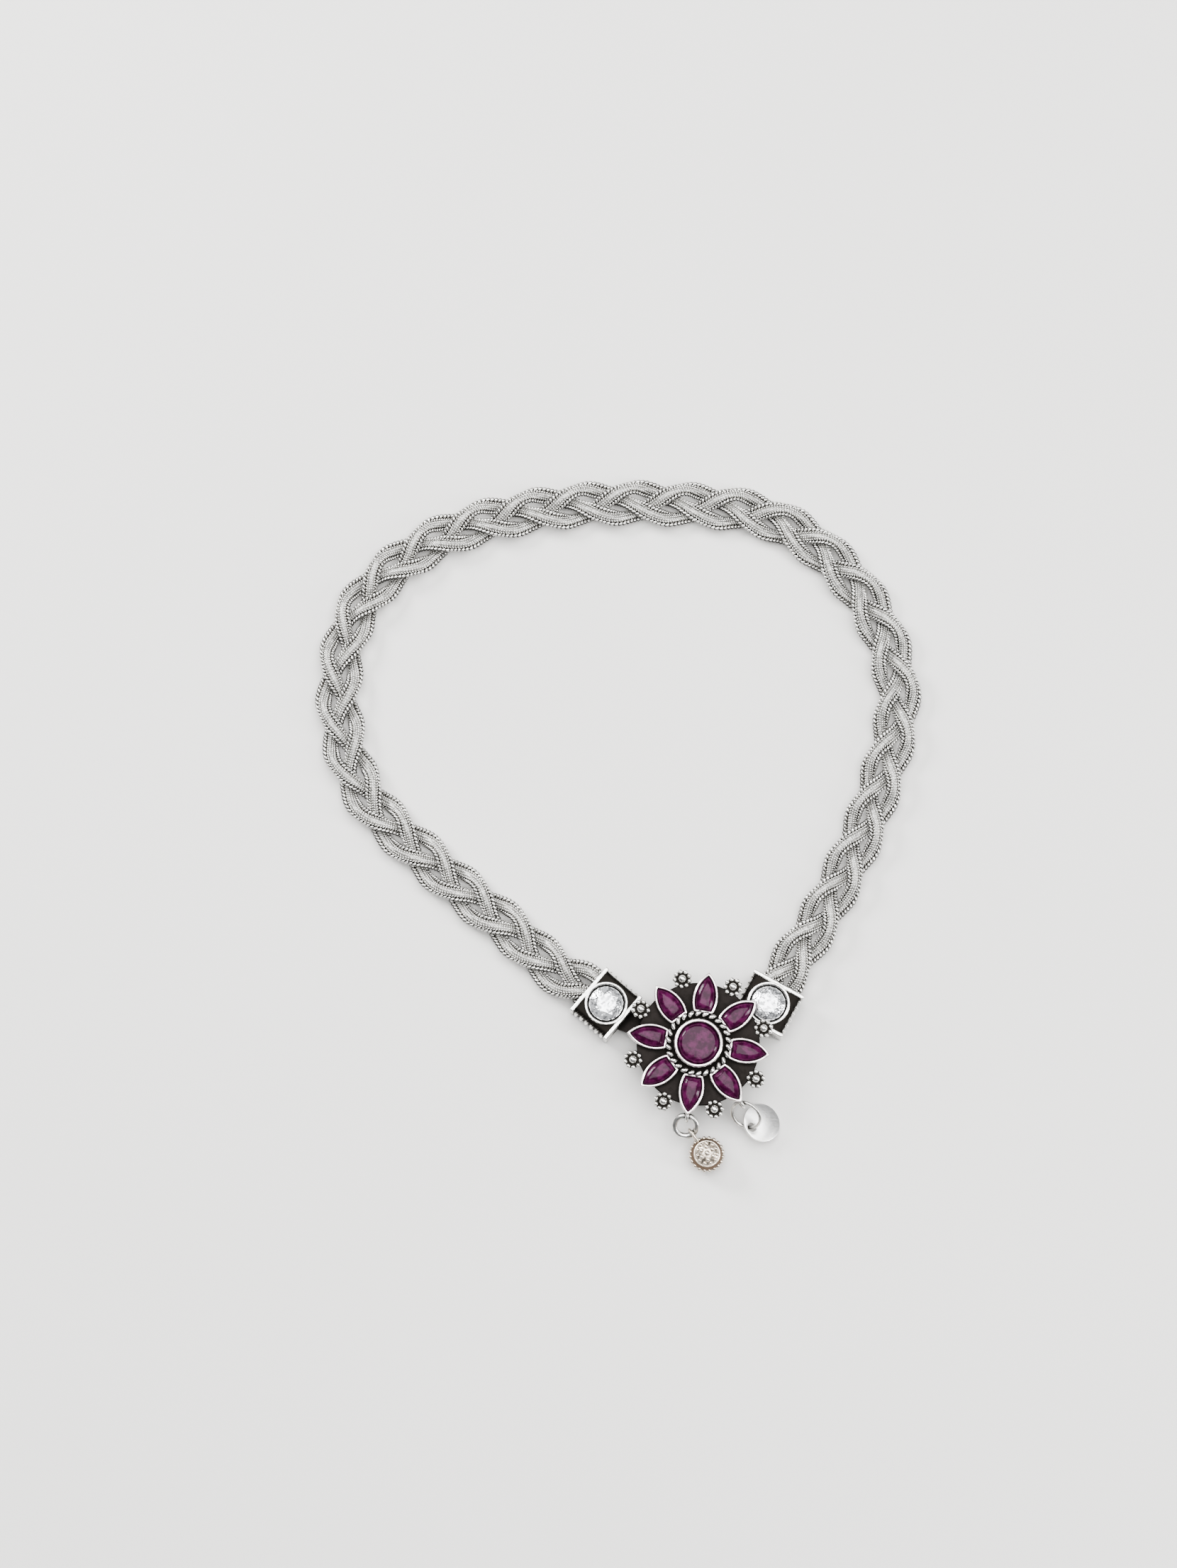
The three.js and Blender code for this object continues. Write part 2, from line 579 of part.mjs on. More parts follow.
function flowerHead() {
  const backRadius = CALYX_BACK_DIAMETER / 2;
  const neckRadius = CALYX_NECK_DIAMETER / 2;
  const plateRadius = FLOWER_PLATE_DIAMETER / 2;
  const neckHeight = TONGUE_UNDERSIDE + TONGUE_THICKNESS + TONGUE_CLEARANCE;
  const calyx = turned(
    [
      [0, 0],
      [backRadius, 0],
      [neckRadius, neckHeight],
      [neckRadius, PLATE_UNDERSIDE - CALYX_FLARE],
      [plateRadius - CALYX_FLARE, PLATE_UNDERSIDE],
      [plateRadius, PLATE_TOP - FLOWER_PLATE_EDGE],
      [plateRadius, PLATE_TOP],
      [0, PLATE_TOP],
    ],
    24,
  );
  const collarTop = PLATE_TOP + CENTRE_COLLAR_HEIGHT;
  const seatRadius = CENTRE_STONE_RADIUS + STONE_CLEARANCE;
  const collar = drum(CENTRE_COLLAR_RADIUS, PLATE_UNDERSIDE, collarTop, CENTRE_COLLAR_SIDES);
  const seat = drum(seatRadius, collarTop - CENTRE_STONE_THICKNESS, collarTop + 1, CENTRE_COLLAR_SIDES);
  const solids = [solid(calyx), solid(collar), solid(ropeRing())];
  for (let index = 0; index < PETAL_COUNT; index += 1) {
    const heading = FIRST_PETAL_HEADING + (index * 360) / PETAL_COUNT;
    solids.push(petalCollar().rotate([0, 0, heading]));
    solids.push(rosette(heading + 180 / PETAL_COUNT));
  }
  for (const heading of [BELL_EYE_HEADING, DISC_EYE_HEADING]) {
    solids.push(solid(eye(heading)));
  }
  for (const cap of [LEFT_CAP, RIGHT_CAP]) {
    solids.push(solid(tongue(cap)));
  }
  return joined(solids).subtract(solid(seat));
}

// Where a ring's near wire lies in an eye: outwards of the hole's middle by a share of its free play
function wireInEye(heading, wire, share) {
  const play = (EYE_DIAMETER - EYE_WIRE - wire) / 2 - LINK_CLEARANCE;
  return atHeading(heading, EYE_RADIUS_FROM_CENTRE + play * share, EYE_Z);
}

// The ball's loop reaches from inside the ball to the ring, and the ring's wire lies against its far end
const BELL_RADIUS = BELL_DIAMETER / 2;
const BELL_LOOP_SINK = BELL_LOOP_WIRE;
const BELL_LOOP_CENTRE = BELL_RADIUS - BELL_LOOP_SINK + BELL_LOOP_LENGTH / 2;

function bellDrop(loopRise) {
  const ball = new THREE.SphereGeometry(BELL_RADIUS, 14, 10);
  ball.rotateX(Math.PI / 2);
  const loop = linkInXZ(BELL_LOOP_LENGTH, BELL_LOOP_HEIGHT, BELL_LOOP_WIRE);
  loop.translate(-BELL_LOOP_CENTRE, 0, loopRise);
  const solids = [solid(ball), solid(loop)];
  const pitch = 360 / BELL_GRAINS;
  for (let index = 0; index < BELL_GRAINS; index += 1) {
    const bead = grain(BELL_GRAIN_DIAMETER);
    const spot = atHeading((index + 0.5) * pitch, BELL_RADIUS - BELL_GRAIN_SINK);
    bead.translate(spot.x, spot.y, spot.z);
    solids.push(solid(bead));
  }
  return joined(solids);
}

// A disc with its hole at the origin, its middle along +X
function discDrop() {
  const holeRadius = DISC_HOLE_DIAMETER / 2;
  const middle = DISC_DIAMETER / 2 - DISC_HOLE_EDGE - holeRadius;
  const half = DISC_THICKNESS / 2;
  const disc = drum(DISC_DIAMETER / 2, -half, half, 28);
  disc.translate(middle, 0, 0);
  const hole = drum(holeRadius, -DISC_THICKNESS, DISC_THICKNESS, 14);
  return solid(disc).subtract(solid(hole));
}

const FINISHES = {
  braid: { color: 0xb4b2ac, roughness: 0.42, metalness: 0.9 },
  cast: { color: 0x9d9a94, roughness: 0.45, metalness: 0.9 },
  bright: { color: 0xe6e5e0, roughness: 0.25, metalness: 1.0 },
  ruby: { color: 0x5b1238, roughness: 0.2, metalness: 0.0 },
  clear: { color: 0xe8ecef, roughness: 0.05, metalness: 0.0 },
};

const anklet = new THREE.Group();

function addPiece(name, geometry, finish, place = new THREE.Vector3(), turn = [0, 0, 0]) {
  const mesh = new THREE.Mesh(geometry, new THREE.MeshStandardMaterial(FINISHES[finish]));
  mesh.name = name;
  mesh.position.copy(place);
  mesh.rotation.set(radians(turn[0]), radians(turn[1]), radians(turn[2]), "ZYX");
  anklet.add(mesh);
  return mesh;
}

for (let index = 0; index < 3; index += 1) {
  addPiece(`braid_strand_${index + 1}`, braidStrand(index / 3), "braid");
}

for (const [index, cap] of [LEFT_CAP, RIGHT_CAP].entries()) {
  const { side, heading } = CAPS[index];
  const stonePlace = cap.centre.clone().setZ(CAP_STONE_GIRDLE_Z);
  addPiece(`end_cap_${side}`, geometryOf(endCap()), "cast", cap.centre, [0, 0, heading - 90]);
  addPiece(`cap_stone_${side}`, capStone(), "clear", stonePlace, [0, 0, heading - 90]);
}

addPiece("flower_head", geometryOf(flowerHead()), "cast");
const centreStoneBack = PLATE_TOP + CENTRE_COLLAR_HEIGHT - CENTRE_STONE_THICKNESS + STONE_CLEARANCE;
addPiece("centre_stone", centreStone(), "ruby", new THREE.Vector3(0, 0, centreStoneBack));
for (let index = 0; index < PETAL_COUNT; index += 1) {
  const heading = FIRST_PETAL_HEADING + (index * 360) / PETAL_COUNT;
  const back = new THREE.Vector3(0, 0, PLATE_TOP + STONE_CLEARANCE);
  addPiece(`petal_stone_${index + 1}`, petalStone(), "ruby", back, [0, 0, heading]);
}

// The bell's ring slopes down from its eye, and the ball rests on the floor with its loop round the ring
const bellRing = linkInXZ(BELL_RING_DIAMETER, BELL_RING_DIAMETER, BELL_RING_WIRE);
bellRing.rotateX(Math.PI / 2);
bellRing.translate(BELL_RING_DIAMETER / 2, 0, 0);
const bellEyeWire = wireInEye(BELL_EYE_HEADING, BELL_RING_WIRE, 1);
const bellRingTurn = [0, BELL_RING_PITCH, BELL_EYE_HEADING];
const bellRingMesh = addPiece("bell_ring", bellRing, "cast", bellEyeWire, bellRingTurn);
bellRingMesh.updateMatrix();
const contactHeading = radians(BELL_HEADING - BELL_EYE_HEADING);
const ringContact = new THREE.Vector3(
  (BELL_RING_DIAMETER / 2) * (1 + Math.cos(contactHeading)),
  (BELL_RING_DIAMETER / 2) * Math.sin(contactHeading),
  0,
).applyMatrix4(bellRingMesh.matrix);
const loopPlay = (BELL_LOOP_LENGTH - BELL_LOOP_WIRE - BELL_RING_WIRE) / 2 - LINK_CLEARANCE;
const loopReach = BELL_LOOP_CENTRE + loopPlay;
const bellPlace = ringContact.clone().add(atHeading(BELL_HEADING, loopReach)).setZ(BELL_RADIUS);
const bellGeometry = geometryOf(bellDrop(ringContact.z - BELL_RADIUS));
addPiece("bell_drop", bellGeometry, "cast", bellPlace, [0, 0, BELL_HEADING]);

// The disc's ring stands aslant, from its eye down to the disc's hole, and the disc leans to the floor
const discRing = linkInXZ(DISC_RING_DIAMETER, DISC_RING_DIAMETER, DISC_RING_WIRE);
discRing.rotateX(Math.PI / 2);
discRing.translate(DISC_RING_DIAMETER / 2, 0, 0);
const discEyeWire = wireInEye(DISC_EYE_HEADING, DISC_RING_WIRE, 0);
const discRingTurn = [DISC_RING_ROLL, DISC_RING_PITCH, DISC_RING_HEADING];
const discRingMesh = addPiece("disc_ring", discRing, "cast", discEyeWire, discRingTurn);
discRingMesh.updateMatrix();
const holePlace = new THREE.Vector3(DISC_RING_DIAMETER, 0, 0).applyMatrix4(discRingMesh.matrix);
const farEdge = DISC_DIAMETER - DISC_HOLE_EDGE - DISC_HOLE_DIAMETER / 2;
const holeRise = holePlace.z - DISC_THICKNESS / 2 - FLOOR_GAP;
const discDip = THREE.MathUtils.radToDeg(Math.asin(holeRise / farEdge));
addPiece("disc_drop", geometryOf(discDrop()), "bright", holePlace, [0, discDip, DISC_HEADING]);

export default anklet;
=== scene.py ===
"""Payal anklet: a braid of three silver strands closed by a flower of dark red stones with two small drops.

Everything is in metres in the part's own frame: +Z up, the loop towards +Y, and the flower's back on
the floor at the origin. Sizes are written in millimetres and multiplied by MM.
"""

import math

import bmesh
import bpy
from mathutils import Matrix, Vector


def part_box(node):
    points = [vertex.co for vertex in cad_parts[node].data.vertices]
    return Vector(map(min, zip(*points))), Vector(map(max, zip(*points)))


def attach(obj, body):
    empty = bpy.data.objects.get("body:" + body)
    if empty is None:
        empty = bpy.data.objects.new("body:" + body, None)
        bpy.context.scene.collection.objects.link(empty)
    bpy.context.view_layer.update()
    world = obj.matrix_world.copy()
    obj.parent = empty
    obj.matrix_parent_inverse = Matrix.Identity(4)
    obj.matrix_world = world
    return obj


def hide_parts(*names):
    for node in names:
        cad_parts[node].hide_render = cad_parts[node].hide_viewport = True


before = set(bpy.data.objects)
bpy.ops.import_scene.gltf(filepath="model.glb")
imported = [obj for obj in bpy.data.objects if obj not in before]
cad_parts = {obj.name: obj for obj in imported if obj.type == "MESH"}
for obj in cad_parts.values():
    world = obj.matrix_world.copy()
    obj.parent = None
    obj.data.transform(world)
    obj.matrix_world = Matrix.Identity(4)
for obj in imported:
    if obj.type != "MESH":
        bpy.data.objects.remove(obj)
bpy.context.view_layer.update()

MM = 0.001
CLOSE = 0.01 * MM
UP = Vector((0, 0, 1))
BODY = "root"

# Vertices nearer than WELD become one, and an edge that turns by more than SHARP radians is a corner
WELD = 0.002 * MM
SHARP = 1.2

# Camera, floor and light
PHOTO_SIZE = (1660, 2212)
PIXELS_PER_MM = 10
FLOWER_PIXEL = (985, 1472)
FLOWER_TOP = 6.0 * MM
CAMERA_ELEVATION = 80
CAMERA_LENS = 85
CAMERA_SENSOR = 36
FLOOR_HALF_SIZE = 2.0
LIGHTS = [
    ("overhead_softbox", (0.04, 0.14, 0.72), (0.88, 0.80), 12.0),
    ("left_softbox", (-0.42, 0.34, 0.34), (0.18, 0.18), 3.0),
    ("right_strip", (0.45, -0.10, 0.22), (0.08, 0.36), 1.6),
]
LIGHT_AIM = (-0.01, 0.035, 0)
ROOM_COLOUR = (0.60, 0.61, 0.63, 1)
ROOM_STRENGTH = 0.3

# Plait
STRAND_WIDTH = 2.5 * MM
STRAND_THICKNESS = 1.2 * MM
SIDE_GAP = 0.2 * MM
PASSING_GAP = 0.36 * MM
PLAIT_PITCH = 22.5 * MM
PLAIT_STRETCH = 1.08
PLAIT_ROLL = math.radians(28)
BRAID_REST_HEIGHT = 1.716 * MM
BRAID_END_HEIGHT = 1.972 * MM
BRAID_RAMP = 16 * MM
POINTS_PER_PITCH = 60
SPAN_STEPS = 80

# How far a strand swings to each side, and how far it rises and falls
THIRD_TURN = 2 * math.sin(math.radians(60))
EIGHTH_TURN = math.cos(math.radians(45))
PASSING_WIDTH = STRAND_WIDTH * PLAIT_STRETCH * math.cos(PLAIT_ROLL * EIGHTH_TURN)
PLAIT_SWING = (PASSING_WIDTH + SIDE_GAP) / (THIRD_TURN * EIGHTH_TURN)
PLAIT_LIFT = (STRAND_THICKNESS + PASSING_GAP) / (THIRD_TURN * math.cos(math.radians(15)))

# The braid's middle line in plan, in millimetres, from the left cap round to the right one
ROUTE = [
    (-20.2, 10.9), (-26.3, 16.5), (-37.7, 26.2), (-48.0, 37.0), (-51.6, 50.5), (-48.8, 64.0), (-38.8, 73.4),
    (-24.0, 78.3), (-5.0, 79.5), (12.0, 76.8), (24.0, 66.3), (29.2, 51.8), (25.8, 35.9), (18.5, 19.9),
]

# One strand: a woven band of slanted links between two fine ropes, round a dark core that paints the oxide
# and shade seen through the gaps
BAND_WIDTH = 1.36 * MM
BAND_THICKNESS = 1.16 * MM
BAND_BODY_WIDTH = 1.3 * MM
BAND_BODY_THICKNESS = 0.84 * MM
BAND_BODY_TONE = 0.42
BAND_ROWS = 4
BAND_PITCH = 0.36 * MM
LINK_LENGTH = 0.56 * MM
LINK_WIDTH = 0.3 * MM
LINK_SLANT = math.radians(40)
EDGE_ROPE_BEAD = (0.8 * MM, 0.47 * MM, 0.6 * MM)
EDGE_ROPE_PITCH = 0.54 * MM
EDGE_ROPE_FOOT = 0.2
EDGE_ROPE_OFFSET = 0.93 * MM
ROPE_SLANT = math.radians(42)
CORE_WIDTH = 1.9 * MM
CORE_THICKNESS = 0.6 * MM
BAR_PITCH = 1.0 * MM
BAR_SIDES = 10
ROW_WELD = 0.02 * MM

# Room left round each stone
STONE_GAP = 0.1 * MM

# End caps
CAP_HEADINGS = {"left": -40.5, "right": -119}
CAP_LENGTH = 6.8 * MM
CAP_HALF_WIDTH = 3.681 * MM
CAP_HEIGHT = 3.944 * MM
CAP_PLATE = 0.6 * MM
CAP_PLATE_OVERHANG = 0.35 * MM
CAP_PLATE_RISE = 0.3 * MM
CAP_POCKET = (3.381 * MM, 1.722 * MM, 1.0 * MM)
CAP_POCKET_MIDDLE = 1.972 * MM
CAP_SLOT = (1.7 * MM, 0.6 * MM, 2.2 * MM)
CAP_SLOT_MIDDLE = 1.6 * MM
CAP_POCKET_INSET = 0.05 * MM
CAP_RIBS = 6
CAP_RIB_DROPS = (0.6 * MM, 1.8 * MM)
CAP_RIB_LENGTH = 1.1 * MM
CAP_RIB_WIDTH = 0.6 * MM
CAP_RIB_SINK = 0.1 * MM
CAP_SHOULDER = 0.7 * MM
CAP_SHOULDER_STEPS = 5
CAP_PLATE_CORNER = 0.2 * MM
CAP_RIM_BEVEL = 0.16 * MM
CAP_TOP_LEAST_AREA = 20 * MM * MM
CAP_STONE_RADIUS = 2.45 * MM
CAP_STONE_TABLE = 1.35 * MM
CAP_STONE_CROWN = 0.5 * MM
CAP_STONE_PAVILION = 1.1 * MM
CAP_STONE_GIRDLE = 0.1 * MM
CAP_SEAT_SHOULDER = 0.2 * MM
CAP_SEAT_WALL = 0.15 * MM
CAP_GIRDLE = 4.044 * MM
CAP_COLLAR_TOP = 4.394 * MM
CAP_COLLAR_RADIUS = 3.1 * MM
CAP_COLLAR_RIM = 0.42 * MM
BRAID_END_BEHIND_CAP = 2.55 * MM
BRAID_LEAD_IN = 2.0 * MM

# Flower
PETALS = 8
FIRST_PETAL = 81
PLATE_UNDERSIDE = 4.794 * MM
PLATE_TOP = 5.244 * MM
PLATE_RADIUS = 8.7 * MM
CALYX_BACK_RADIUS = 4.8 * MM
CALYX_NECK_RADIUS = 6.2 * MM
CALYX_NECK_HEIGHT = 2.2 * MM
PETAL_START = 4.4 * MM
PETAL_MIDDLE = 6.45 * MM
PETAL_HALF_LENGTH = 3.75 * MM
PETAL_WIDTH = 3.6 * MM
PETAL_WALL = 0.38 * MM
PETAL_RIM = 5.944 * MM

# Steps of a collar's rounded rim: inward, up
PETAL_ROUNDING = [(0.04 * MM, 0.09 * MM), (0.06 * MM, 0.05 * MM), (0.06 * MM, 0.01 * MM)]

# Steps of a petal stone's crown: share of the outline below, up
PETAL_CROWN = [(0.84, 0.2 * MM), (0.7, 0.18 * MM), (0.5, 0.1 * MM)]
PETAL_STONE_WALL = 0.3 * MM
COLLAR_GAP = 0.06 * MM

CENTRE_STONE_RADIUS = 2.9 * MM
CENTRE_TABLE_RADIUS = 2.3 * MM
CENTRE_COLLAR_RADIUS = 3.45 * MM
CENTRE_COLLAR_TOP = 6.844 * MM
ROPE_RING_RADIUS = 4.27 * MM
ROPE_RING_BEAD = (1.2 * MM, 0.68 * MM, 0.95 * MM)
ROPE_RING_BEADS = 26
ROPE_RING_HEIGHT = 5.83 * MM
ROSETTE_REACH = 9.5 * MM
ROSETTE_RADIUS = 1.4 * MM
ROSETTE_GRAINS = 9
ROSETTE_GRAIN = 0.66 * MM
ROSETTE_BEAD = 1.1 * MM
ROSETTE_BEAD_LIFT = 0.28
ROSETTE_DISC_INSET = 0.35
ROSETTE_GROUND = 0.06 * MM
TONGUE_HALF_WIDTH = 1.5 * MM
TONGUE_LOW = 1.2 * MM
TONGUE_HIGH = 2.0 * MM
TONGUE_REACH = 2.0 * MM
TONGUE_ELBOW = 0.2 * MM

# Eyes, rings and drops
EYE_RADIUS = 0.8 * MM
EYE_WIRE = 0.25 * MM
EYE_REACH = 10.1 * MM
EYE_HEIGHT = 4.144 * MM
BELL_EYE_HEADING = -99
DISC_EYE_HEADING = -54
LINK_CLEARANCE = 0.1 * MM
BELL_RING_RADIUS = 1.575 * MM
BELL_RING_WIRE = 0.4 * MM
BELL_RING_PITCH = 30
BELL_RADIUS = 2.25 * MM
BELL_CROWN = 1.45 * MM
BELL_HEADING = -54
BELL_LOOP_LENGTH = 2.4 * MM
BELL_LOOP_HEIGHT = 1.8 * MM
BELL_LOOP_WIRE = 0.22 * MM
BELL_LOOP_MIDDLE = BELL_RADIUS - 2 * BELL_LOOP_WIRE + BELL_LOOP_LENGTH / 2
BELL_BAND_LATITUDE = 38
BELL_BAND_WIRE = 0.13 * MM

# Rows of grains on the bell: latitude, number, radius in millimetres
BELL_GRAIN_ROWS = [(90, 1, 0.42), (66, 6, 0.36), (51, 11, 0.3), (0, 20, 0.34), (-20, 19, 0.3)]
DISC_RING_RADIUS = 2.15 * MM
DISC_RING_WIRE = 0.25 * MM
DISC_RING_TURN = (40, 30, -64)
DISC_RADIUS = 2.75 * MM
DISC_THICKNESS = 0.4 * MM
DISC_EDGE_BEVEL = 0.07 * MM
DISC_HOLE_RADIUS = 0.675 * MM
DISC_HOLE_EDGE = 0.325 * MM
DISC_HEADING = 26
DISC_FLOOR_GAP = 0.05 * MM


def at_heading(degrees, reach, height=0.0):
    angle = math.radians(degrees)
    return Vector((math.cos(angle) * reach, math.sin(angle) * reach, height))


def placed(place, turn=(0, 0, 0)):
    """A matrix that rolls about X, pitches about Y, heads about Z, in degrees, and then moves to place."""
    roll, pitch, heading = (math.radians(angle) for angle in turn)
    spin = Matrix.Rotation(heading, 4, "Z") @ Matrix.Rotation(pitch, 4, "Y") @ Matrix.Rotation(roll, 4, "X")
    return Matrix.Translation(place) @ spin


# Finishes


def new_finish(name):
    finish = bpy.data.materials.new(name)
    finish.use_nodes = True
    tree = finish.node_tree
    tree.nodes.clear()
    output = tree.nodes.new("ShaderNodeOutputMaterial")
    shader = tree.nodes.new("ShaderNodeBsdfPrincipled")
    tree.links.new(shader.outputs["BSDF"], output.inputs["Surface"])
    return finish, tree, shader


def noise(tree, size, detail=3.0, stretch=(1, 1, 1)):
    """A noise pattern whose lumps are about size across, on the piece's own coordinates."""
    coordinates = tree.nodes.new("ShaderNodeTexCoord")
    mapping = tree.nodes.new("ShaderNodeMapping")
    mapping.inputs["Scale"].default_value = stretch
    pattern = tree.nodes.new("ShaderNodeTexNoise")
    pattern.inputs["Scale"].default_value = 1 / size
    pattern.inputs["Detail"].default_value = detail
    tree.links.new(coordinates.outputs["Object"], mapping.inputs["Vector"])
    tree.links.new(mapping.outputs["Vector"], pattern.inputs["Vector"])
    return pattern.outputs["Fac"]


def darker(colour, share):
    return tuple(channel * share for channel in colour)


def ranged(tree, value, low, high, to_low=0.0, to_high=1.0):
    node = tree.nodes.new("ShaderNodeMapRange")
    node.interpolation_type = "SMOOTHSTEP"
    node.inputs["From Min"].default_value = low
    node.inputs["From Max"].default_value = high
    node.inputs["To Min"].default_value = to_low
    node.inputs["To Max"].default_value = to_high
    tree.links.new(value, node.inputs["Value"])
    return node.outputs["Result"]


def mixed(tree, share, first, second):
    """Two colours, each given as a tuple or a socket, blended by share."""
    node = tree.nodes.new("ShaderNodeMix")
    node.data_type = "RGBA"
    tree.links.new(share, node.inputs["Factor"])
    for socket, colour in (("A", first), ("B", second)):
        target = [entry for entry in node.inputs if entry.name == socket and entry.type == "RGBA"][0]
        if isinstance(colour, tuple):
            target.default_value = (*colour, 1)
        else:
            tree.links.new(colour, target)
    return [entry for entry in node.outputs if entry.type == "RGBA"][0]


def product(tree, first, second):
    node = tree.nodes.new("ShaderNodeMath")
    node.operation = "MULTIPLY"
    tree.links.new(first, node.inputs[0])
    tree.links.new(second, node.inputs[1])
    return node.outputs["Value"]


def bumped(tree, shader, height, depth):
    node = tree.nodes.new("ShaderNodeBump")
    node.inputs["Distance"].default_value = depth
    tree.links.new(height, node.inputs["Height"])
    tree.links.new(node.outputs["Normal"], shader.inputs["Normal"])


def openness(tree, reach, closed, open_, least=0.0):
    """How open a place is: least in a crevice and 1 where nothing stands within reach. A colour darkened by
    it has painted shade.
    """
    occlusion = tree.nodes.new("ShaderNodeAmbientOcclusion")
    occlusion.samples = 8
    occlusion.inputs["Distance"].default_value = reach
    return ranged(tree, occlusion.outputs["AO"], closed, open_, least)


def oxidised_and_shaded_silver(name, bright, dark, reach, smooth, closed=0.5, open_=0.92, grain_size=0.25 * MM):
    """Silver, polished where it stands proud and black where it lies low: partly its oxide, partly painted
    shade.

    reach is how far away a crevice's walls still count, and smooth is the polished metal's roughness.
    """
    finish, tree, shader = new_finish(name)
    stains = ranged(tree, noise(tree, 0.8 * MM, 4.0), 0.25, 0.62, 0.5, 1.0)
    # Bright where open and polished; dark in oxide, and in painted shade where ambient occlusion finds other
    # parts close
    polish_and_shade = product(tree, openness(tree, reach, closed, open_), stains)
    tone = mixed(tree, noise(tree, 2.6 * MM), bright, darker(bright, 0.8))
    tree.links.new(mixed(tree, polish_and_shade, dark, tone), shader.inputs["Base Color"])
    shader.inputs["Metallic"].default_value = 1.0
    tree.links.new(ranged(tree, polish_and_shade, 0.1, 0.9, 0.6, smooth), shader.inputs["Roughness"])
    bumped(tree, shader, noise(tree, grain_size, 5.0), 0.03 * MM)
    return finish


def relief_silver(name, bright, dark, smooth):
    """Silver, bright on its crests and black at its feet by the relief attribute, with painted shade in deep
    places.
    """
    finish, tree, shader = new_finish(name)
    relief = tree.nodes.new("ShaderNodeAttribute")
    relief.attribute_name = "relief"
    crest = ranged(tree, relief.outputs["Fac"], 0.1, 0.75)
    # Crests by relief, times ambient occlusion, which paints shade in deep places and where strands cross
    polish_and_shade = product(tree, crest, openness(tree, 0.7 * MM, 0.1, 0.55))
    speckles = ranged(tree, noise(tree, 0.4 * MM, 4.0), 0.36, 0.64)
    tone = mixed(tree, speckles, bright, darker(bright, 0.66))
    tree.links.new(mixed(tree, polish_and_shade, dark, tone), shader.inputs["Base Color"])
    shader.inputs["Metallic"].default_value = 1.0
    tree.links.new(ranged(tree, polish_and_shade, 0.0, 1.0, 0.6, smooth), shader.inputs["Roughness"])
    bumped(tree, shader, noise(tree, 0.14 * MM), 0.015 * MM)
    return finish


def polished_silver(name, bright, smooth, scratches):
    """Polished sheet silver with fine scratches that run one way."""
    finish, tree, shader = new_finish(name)
    lines = noise(tree, 0.5 * MM, 6.0, scratches)
    tree.links.new(mixed(tree, lines, bright, darker(bright, 0.86)), shader.inputs["Base Color"])
    shader.inputs["Metallic"].default_value = 1.0
    tree.links.new(ranged(tree, lines, 0.3, 0.7, smooth, smooth + 0.14), shader.inputs["Roughness"])
    bumped(tree, shader, lines, 0.01 * MM)
    return finish


def ruby_glass(name, deep, light):
    """Dark wine-red glass, cloudy inside, polished outside."""
    finish, tree, shader = new_finish(name)
    clouds = ranged(tree, noise(tree, 0.9 * MM, 6.0), 0.38, 0.66)
    tree.links.new(mixed(tree, clouds, deep, light), shader.inputs["Base Color"])
    shader.inputs["Roughness"].default_value = 0.14
    shader.inputs["IOR"].default_value = 1.5
    shader.inputs["Specular IOR Level"].default_value = 0.22
    bumped(tree, shader, noise(tree, 0.4 * MM, 4.0), 0.012 * MM)
    return finish


def clear_glass(name, cell, dark, light):
    """A colourless cut stone over bright foil: painted reflections of its back facets, as small light and
    dark cells in its colour.
    """
    finish, tree, shader = new_finish(name)
    coordinates = tree.nodes.new("ShaderNodeTexCoord")
    cells = tree.nodes.new("ShaderNodeTexVoronoi")
    cells.inputs["Scale"].default_value = 1 / cell
    tree.links.new(coordinates.outputs["Object"], cells.inputs["Vector"])
    spread = tree.nodes.new("ShaderNodeSeparateColor")
    tree.links.new(cells.outputs["Color"], spread.inputs["Color"])
    shade = ranged(tree, spread.outputs["Red"], 0.05, 0.7)
    tree.links.new(mixed(tree, shade, dark, light), shader.inputs["Base Color"])
    shader.inputs["Metallic"].default_value = 0.7
    shader.inputs["Roughness"].default_value = 0.10
    shader.inputs["IOR"].default_value = 2.1
    bumped(tree, shader, cells.outputs["Distance"], 0.03 * MM)
    return finish


def matt_floor(name):
    finish, tree, shader = new_finish(name)
    tone = mixed(tree, noise(tree, 60 * MM, 2.0), (0.74, 0.73, 0.71), (0.78, 0.77, 0.755))
    tree.links.new(tone, shader.inputs["Base Color"])
    shader.inputs["Roughness"].default_value = 0.75
    bumped(tree, shader, noise(tree, 1.5 * MM, 4.0), 0.02 * MM)
    return finish


SILVER = (0.93, 0.92, 0.89)
WARM_SILVER = (0.84, 0.76, 0.66)
ROSE_SILVER = (0.95, 0.89, 0.88)
# Black of the silver's oxide, and of the painted shade that ambient occlusion lays in crevices and between
# parts
OXIDE_AND_SHADE = (0.020, 0.018, 0.016)
BELL_BROWN = (0.17, 0.12, 0.085)
DEEP_RUBY = (0.030, 0.002, 0.018)
LIGHT_RUBY = (0.082, 0.010, 0.052)
# Painted reflections of the clear stones' facets: the dark and light cells in their colour
PAINTED_DARK_REFLECTION = (0.3, 0.305, 0.315)
PAINTED_LIGHT_REFLECTION = (0.96, 0.97, 0.99)

